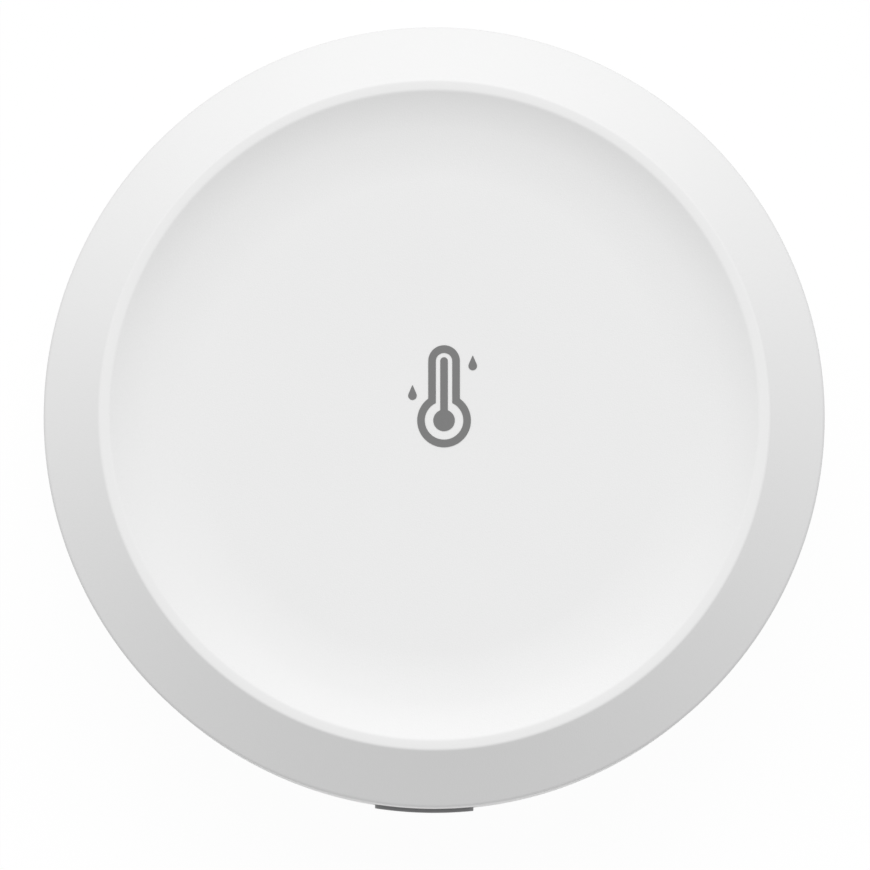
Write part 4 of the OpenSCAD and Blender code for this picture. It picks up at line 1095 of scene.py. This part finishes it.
# Case screws: four pan-head screws of zinc-plated steel that hold the tray and the board to the bosses.
# Each has a cross recess, a rolled thread and a blunt tip.
head_crown, head_rim, head_ease, tip_taper, tip_share = 0.95 * MM, 0.05 * MM, 0.1 * MM, 0.7 * MM, 0.4
thread_r, core_r, thread_pitch, thread_turns = 1 * MM, 0.8 * MM, 0.7 * MM, 5
thread_in, thread_lead, thread_start = 0.05 * MM, 0.6 * MM, math.radians(2)
cross_l, cross_w, cross_depth = 2.3 * MM, 0.6 * MM, 0.8 * MM
crown_angles = [math.radians(a) for a in range(10, 91, 8)]
crown = [(screw_head_r * math.sin(a), screws_low.z + head_crown * (1 - math.cos(a))) for a in crown_angles]
screw = turned(crown + eased([
    (screw_head_r, screws_low.z + head_crown + head_rim, 0),
    (screw_head_r, z_tray_floor, head_ease),
    (core_r, z_tray_floor, 0),
    (core_r, screws_high.z - tip_taper, 0),
    (core_r * tip_share, screws_high.z, 0),
]), 64)
cross = [
    block((-x / 2, -y / 2, screws_low.z - PAST), (x / 2, y / 2, screws_low.z + cross_depth))
    for x, y in ((cross_l, cross_w), (cross_w, cross_l))
]
combine(screw, cross, "DIFFERENCE")
tooth = thread_r - core_r + thread_in
deselect()
bpy.ops.mesh.primitive_circle_add(
    vertices=4, radius=tooth, fill_type="NOTHING", rotation=(math.pi / 2, 0, 0),
    location=(thread_r - tooth, 0, z_tray_floor + thread_lead)
)
thread = moved(settle(bpy.context.object), turn=(0, 0, thread_start))
wind = thread.modifiers.new("wind", "SCREW")
wind.axis, wind.angle, wind.screw_offset, wind.iterations = "Z", 2 * math.pi, thread_pitch, thread_turns
wind.steps = wind.render_steps = 32
bpy.ops.object.modifier_apply(modifier=wind.name)
edit_whole(thread)
bpy.ops.mesh.fill_holes(sides=4)
bpy.ops.mesh.select_all(action="SELECT")
bpy.ops.mesh.normals_make_consistent(inside=False)
combine(screw, [settle(thread)], "UNION")
# The many-sided faces along the thread are split evenly, so that no doubled sliver comes of them.
select_where(screw, "FACE", lambda f: len(f.verts) > 4)
bpy.ops.mesh.quads_convert_to_tris(ngon_method="BEAUTY")
screws = joined(repeated(screw, [(*at, 0) for at in screw_places]))
zinc_steel = plated("zinc_steel", (0.6, 0.62, 0.64), 0.3, (0.2, 0.2, 0.2), 0.003, 0.2)
finished(screws, "case_screws_set", zinc_steel, "zinc_steel", "case_screws", smooth=35)

# AAA cells: two steel cans in a printed foil jacket, head to tail in the bay.
# The jacket is rolled over both ends, and a dark washer keeps it from the nub.
cell_r, cell_l, cell_hub_r = (cell_high.y - cell_low.y) / 2, cell_high.x - cell_low.x, 0.3 * MM
nub_r, nub_ease, washer_r, washer_z = 1.9 * MM, 0.25 * MM, 3.9 * MM, 1 * MM
fold_r, fold_out_r, fold_z, fold_ease, roll_ease = 4.05 * MM, 4.75 * MM, 0.8 * MM, 0.06 * MM, 0.15 * MM
shoulder_z, heel_h, cell_ease = 1.25 * MM, 0.4 * MM, 0.3 * MM
band_from, band_to = 5 * MM, 7.5 * MM
plate_r, plate_foot, plate_ease, z_plate = 3.3 * MM, 0.2 * MM, 0.1 * MM, cell_l - 0.2 * MM
cell_outline = eased([
    (cell_hub_r, 0, 0),
    (nub_r, 0, nub_ease),
    (nub_r, washer_z, plate_ease),
    (washer_r, washer_z, 0),
    (fold_r, fold_z, fold_ease),
    (fold_out_r, fold_z, roll_ease),
    (cell_r, shoulder_z, cell_ease),
    (cell_r, band_from, 0),
    (cell_r, band_to, 0),
    (cell_r, cell_l - heel_h, cell_ease),
    (fold_out_r, cell_l, roll_ease),
    (fold_r, cell_l, fold_ease),
    (washer_r, z_plate, 0),
    (plate_r + plate_foot, z_plate, plate_ease),
    (plate_r, cell_l, plate_ease),
    (cell_hub_r, cell_l, 0),
])
nub_to, nub_out_r, plate_from = washer_z + plate_ease, nub_r * 1.02, z_plate - plate_ease
foil_jacket = plated("foil_jacket", (0.6, 0.4, 0.1), 0.35, (2, 0.1, 0.1), 0.001, 0.1)
white_band = plated("white_band", (0.78, 0.78, 0.76), 0.4, (2, 0.1, 0.1), 0.001, 0.08)
for node, side in (("upper_cell", 1), ("lower_cell", -1)):
    nub_x = side * cell_high.x
    cell = moved(turned(cell_outline, 96), (nub_x, side * cell_y, z_cell), (0, -side * math.pi / 2, 0))

    def from_nub(face):
        """How far a face lies from the nub's end, along the cell."""
        return side * (nub_x - face.center.x)

    def from_axis(face):
        """How far a face lies from the cell's axis."""
        return math.hypot(face.center.y - side * cell_y, face.center.z - z_cell)

    finished(cell, node + "_can", foil_jacket, "cell_jacket", node)
    finish_where(cell, white_band, lambda f: band_from < from_nub(f) < band_to)
    finish_where(cell, black_resin, lambda f: from_nub(f) < nub_to and nub_out_r < from_axis(f) < washer_r)
    finish_where(cell, nickel_plate, lambda f: (
        from_nub(f) < nub_to and from_axis(f) < nub_out_r
        or from_nub(f) > plate_from and from_axis(f) < washer_r))

# Rear cover: the plate that stays on the wall, moulded in the same white ABS.
# It has a recess for the adhesive, a ring with three bayonet lugs, a ring that keeps the cells in,
# scalloped grips at both sides and two index notches.
disc_low, disc_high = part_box("adhesive_disc")
disc_r, disc_gap, recess = disc_high.x, 0.15 * MM, 0.4 * MM
cover_inset, cover_chamfer, seam, ring_t = 0.4 * MM, 0.6 * MM, 0.25 * MM, 1.4 * MM
cover_r, recess_r = housing_r - cover_inset, disc_r + disc_gap
z_cover, z_cover_in, z_ring = cover_low.z, z_rear - seam, cover_high.z
ring_out_r, hold_out_r = tab_in_r - twist_gap, 13 * MM
ring_in_r, hold_in_r = ring_out_r - ring_t, hold_out_r - ring_t
cover = turned(eased([
    (HUB_R, z_cover + recess, 0),
    (recess_r, z_cover + recess, 0),
    (recess_r, z_cover, edge_ease),
    (cover_r - cover_chamfer, z_cover, edge_ease),
    (cover_r, z_cover + cover_chamfer, edge_ease),
    (cover_r, z_cover_in, edge_ease),
    (ring_out_r, z_cover_in, 0),
    (ring_out_r, z_ring, edge_ease),
    (ring_in_r, z_ring, edge_ease),
    (ring_in_r, z_cover_in, 0),
    (hold_out_r, z_cover_in, 0),
    (hold_out_r, z_ring, edge_ease),
    (hold_in_r, z_ring, edge_ease),
    (hold_in_r, z_cover_in, 0),
    (HUB_R, z_cover_in, 0),
]))
lug_root, lug_out_r, z_lug = 0.2 * MM, bore_r - twist_gap, z_tab_top + twist_gap
lug = sector(ring_out_r - lug_root, lug_out_r, z_lug, z_ring, -lug_span / 2, lug_span)
combine(cover, repeated(lug, turns=about_axis(tab_angles)), "UNION")
scallop_r, scallop_depth, scallop_count, scallop_pitch, scallop_up = 0.9 * MM, 0.4 * MM, 9, 4, 0.1 * MM
scallop_at, twist = cover_r + scallop_r - scallop_depth, 20
scallop_places = []
for grip in (0, 180):
    for i in range(scallop_count):
        angle = math.radians(grip + (i - (scallop_count - 1) / 2) * scallop_pitch)
        scallop_places.append((scallop_at * math.cos(angle), scallop_at * math.sin(angle), 0))
cuts = repeated(rod(scallop_r, z_cover - PAST, z_cover_in + scallop_up, (0, 0), 32), scallop_places)
cuts += index_notches(cover_r, z_cover_in, [notch_angle, notch_angle + twist])
combine(cover, [joined(cuts)], "DIFFERENCE")
white_cover = moulded("white_cover", (0.81, 0.81, 0.81), 0.5, 0.12, 0.007, 0.02, specular=0.3)
finished(cover, "rear_cover_moulding", white_cover, "white_cover", "rear_cover", body="base")

# Adhesive disc: a die-cut round of double-sided foam tape that holds the cover to the wall.
# Pale grey acrylic, a little tacky, with softly rounded cut edges.
disc_ease = 0.15 * MM
disc = turned(eased([
    (HUB_R, disc_low.z, 0),
    (disc_r, disc_low.z, disc_ease),
    (disc_r, disc_high.z, disc_ease),
    (HUB_R, disc_high.z, 0),
]))
adhesive = moulded("adhesive", (0.57, 0.6, 0.63), 0.35, 0.35, 0.01, 0.08)
finished(disc, "adhesive_foam", adhesive, "adhesive", "adhesive_disc", body="base")

# Floor: a plain white sheet a hair below the disc, seen as white, with only a soft shadow on it.
# From below it is clear, and it throws an even light back, so that the back can be looked at.
floor_size, floor_shade, floor_bounce, floor_drop = 4, 0.05, 0.75, 0.02 * MM
deselect()
bpy.ops.mesh.primitive_plane_add(size=floor_size, location=(0, 0, -floor_drop))
floor = settle(bpy.context.object)
floor.name = "floor"
floor_paper = bpy.data.materials.new("floor_paper")
floor_paper.use_nodes = True
floor_paper.cycles.emission_sampling = "NONE"
tree = floor_paper.node_tree
tree.nodes.remove(tree.nodes["Principled BSDF"])


def seen_directly(tree):
    """One where a ray shows the background itself: seen straight, in a gloss or through something clear."""
    rays = tree.nodes.new("ShaderNodeLightPath").outputs
    seen = reckon(tree, "MAXIMUM", rays["Is Camera Ray"], rays["Is Glossy Ray"])
    return reckon(tree, "MAXIMUM", seen, rays["Is Transmission Ray"])


def mixed(tree, share, first, second):
    """A Mix Shader node; the share is a number or the output of another node."""
    mix = tree.nodes.new("ShaderNodeMixShader")
    if isinstance(share, (int, float)):
        mix.inputs["Fac"].default_value = share
    else:
        tree.links.new(share, mix.inputs["Fac"])
    tree.links.new(first.outputs[0], mix.inputs[1])
    tree.links.new(second.outputs[0], mix.inputs[2])
    return mix


paper, white, bounce, clear, side = (
    tree.nodes.new("ShaderNode" + kind)
    for kind in ("BsdfDiffuse", "Emission", "Emission", "BsdfTransparent", "NewGeometry")
)
paper.inputs["Color"].default_value = (1, 1, 1, 1)
bounce.inputs["Strength"].default_value = floor_bounce
shown = mixed(tree, seen_directly(tree), bounce, mixed(tree, 1 - floor_shade, paper, white))
sided = mixed(tree, side.outputs["Backfacing"], shown, clear)
tree.links.new(sided.outputs[0], tree.nodes["Material Output"].inputs["Surface"])
floor.data.materials.append(floor_paper)

# Light: an even white room and one large soft lamp from above the top of the face.
# The room is plain white where it is seen, and dimmer where it lights the object.
room_level, lamp_level, lamp_softness = 0.474, 1.946, math.radians(50)
lamp_from = Vector((0, 0.574, 0.819))
world = bpy.context.scene.world or bpy.data.worlds.new("room")
bpy.context.scene.world = world
world.use_nodes = True
tree = world.node_tree
room, backdrop = tree.nodes["Background"], tree.nodes.new("ShaderNodeBackground")
for light, level in ((room, room_level), (backdrop, 1)):
    light.inputs["Color"].default_value = (1, 1, 1, 1)
    light.inputs["Strength"].default_value = level
surround = mixed(tree, seen_directly(tree), room, backdrop)
tree.links.new(surround.outputs[0], tree.nodes["World Output"].inputs["Surface"])
deselect()
bpy.ops.object.light_add(type="SUN", location=lamp_from)
lamp = bpy.context.object
lamp.rotation_euler = (-lamp_from).to_track_quat("-Z", "Y").to_euler()
lamp.data.energy, lamp.data.angle = lamp_level, lamp_softness

# Camera: square on to the face, a little towards the key, as in the photograph of 870 by 870 pixels.
# The housing's width and place there, in pixels, give the lens and the aim.
image_px, housing_px, housing_at_px = 870, 781.4, (434.2, 416.6)
camera_distance, camera_elevation, sensor_width = 0.9, math.radians(87.5), 36
pixel = 2 * housing_r / housing_px
aim_x, aim_y = (image_px / 2 - housing_at_px[0]) * pixel, (housing_at_px[1] - image_px / 2) * pixel
back = Vector((0, -math.cos(camera_elevation), math.sin(camera_elevation)))
bpy.ops.object.camera_add(location=Vector((aim_x, aim_y, z_shoulder)) + back * camera_distance)
camera = bpy.context.object
camera.rotation_euler = (-back).to_track_quat("-Z", "Y").to_euler()
camera.data.sensor_width = sensor_width
camera.data.lens = sensor_width * camera_distance / (image_px * pixel)
bpy.context.scene.camera = camera
bpy.context.scene.view_settings.view_transform = "Standard"
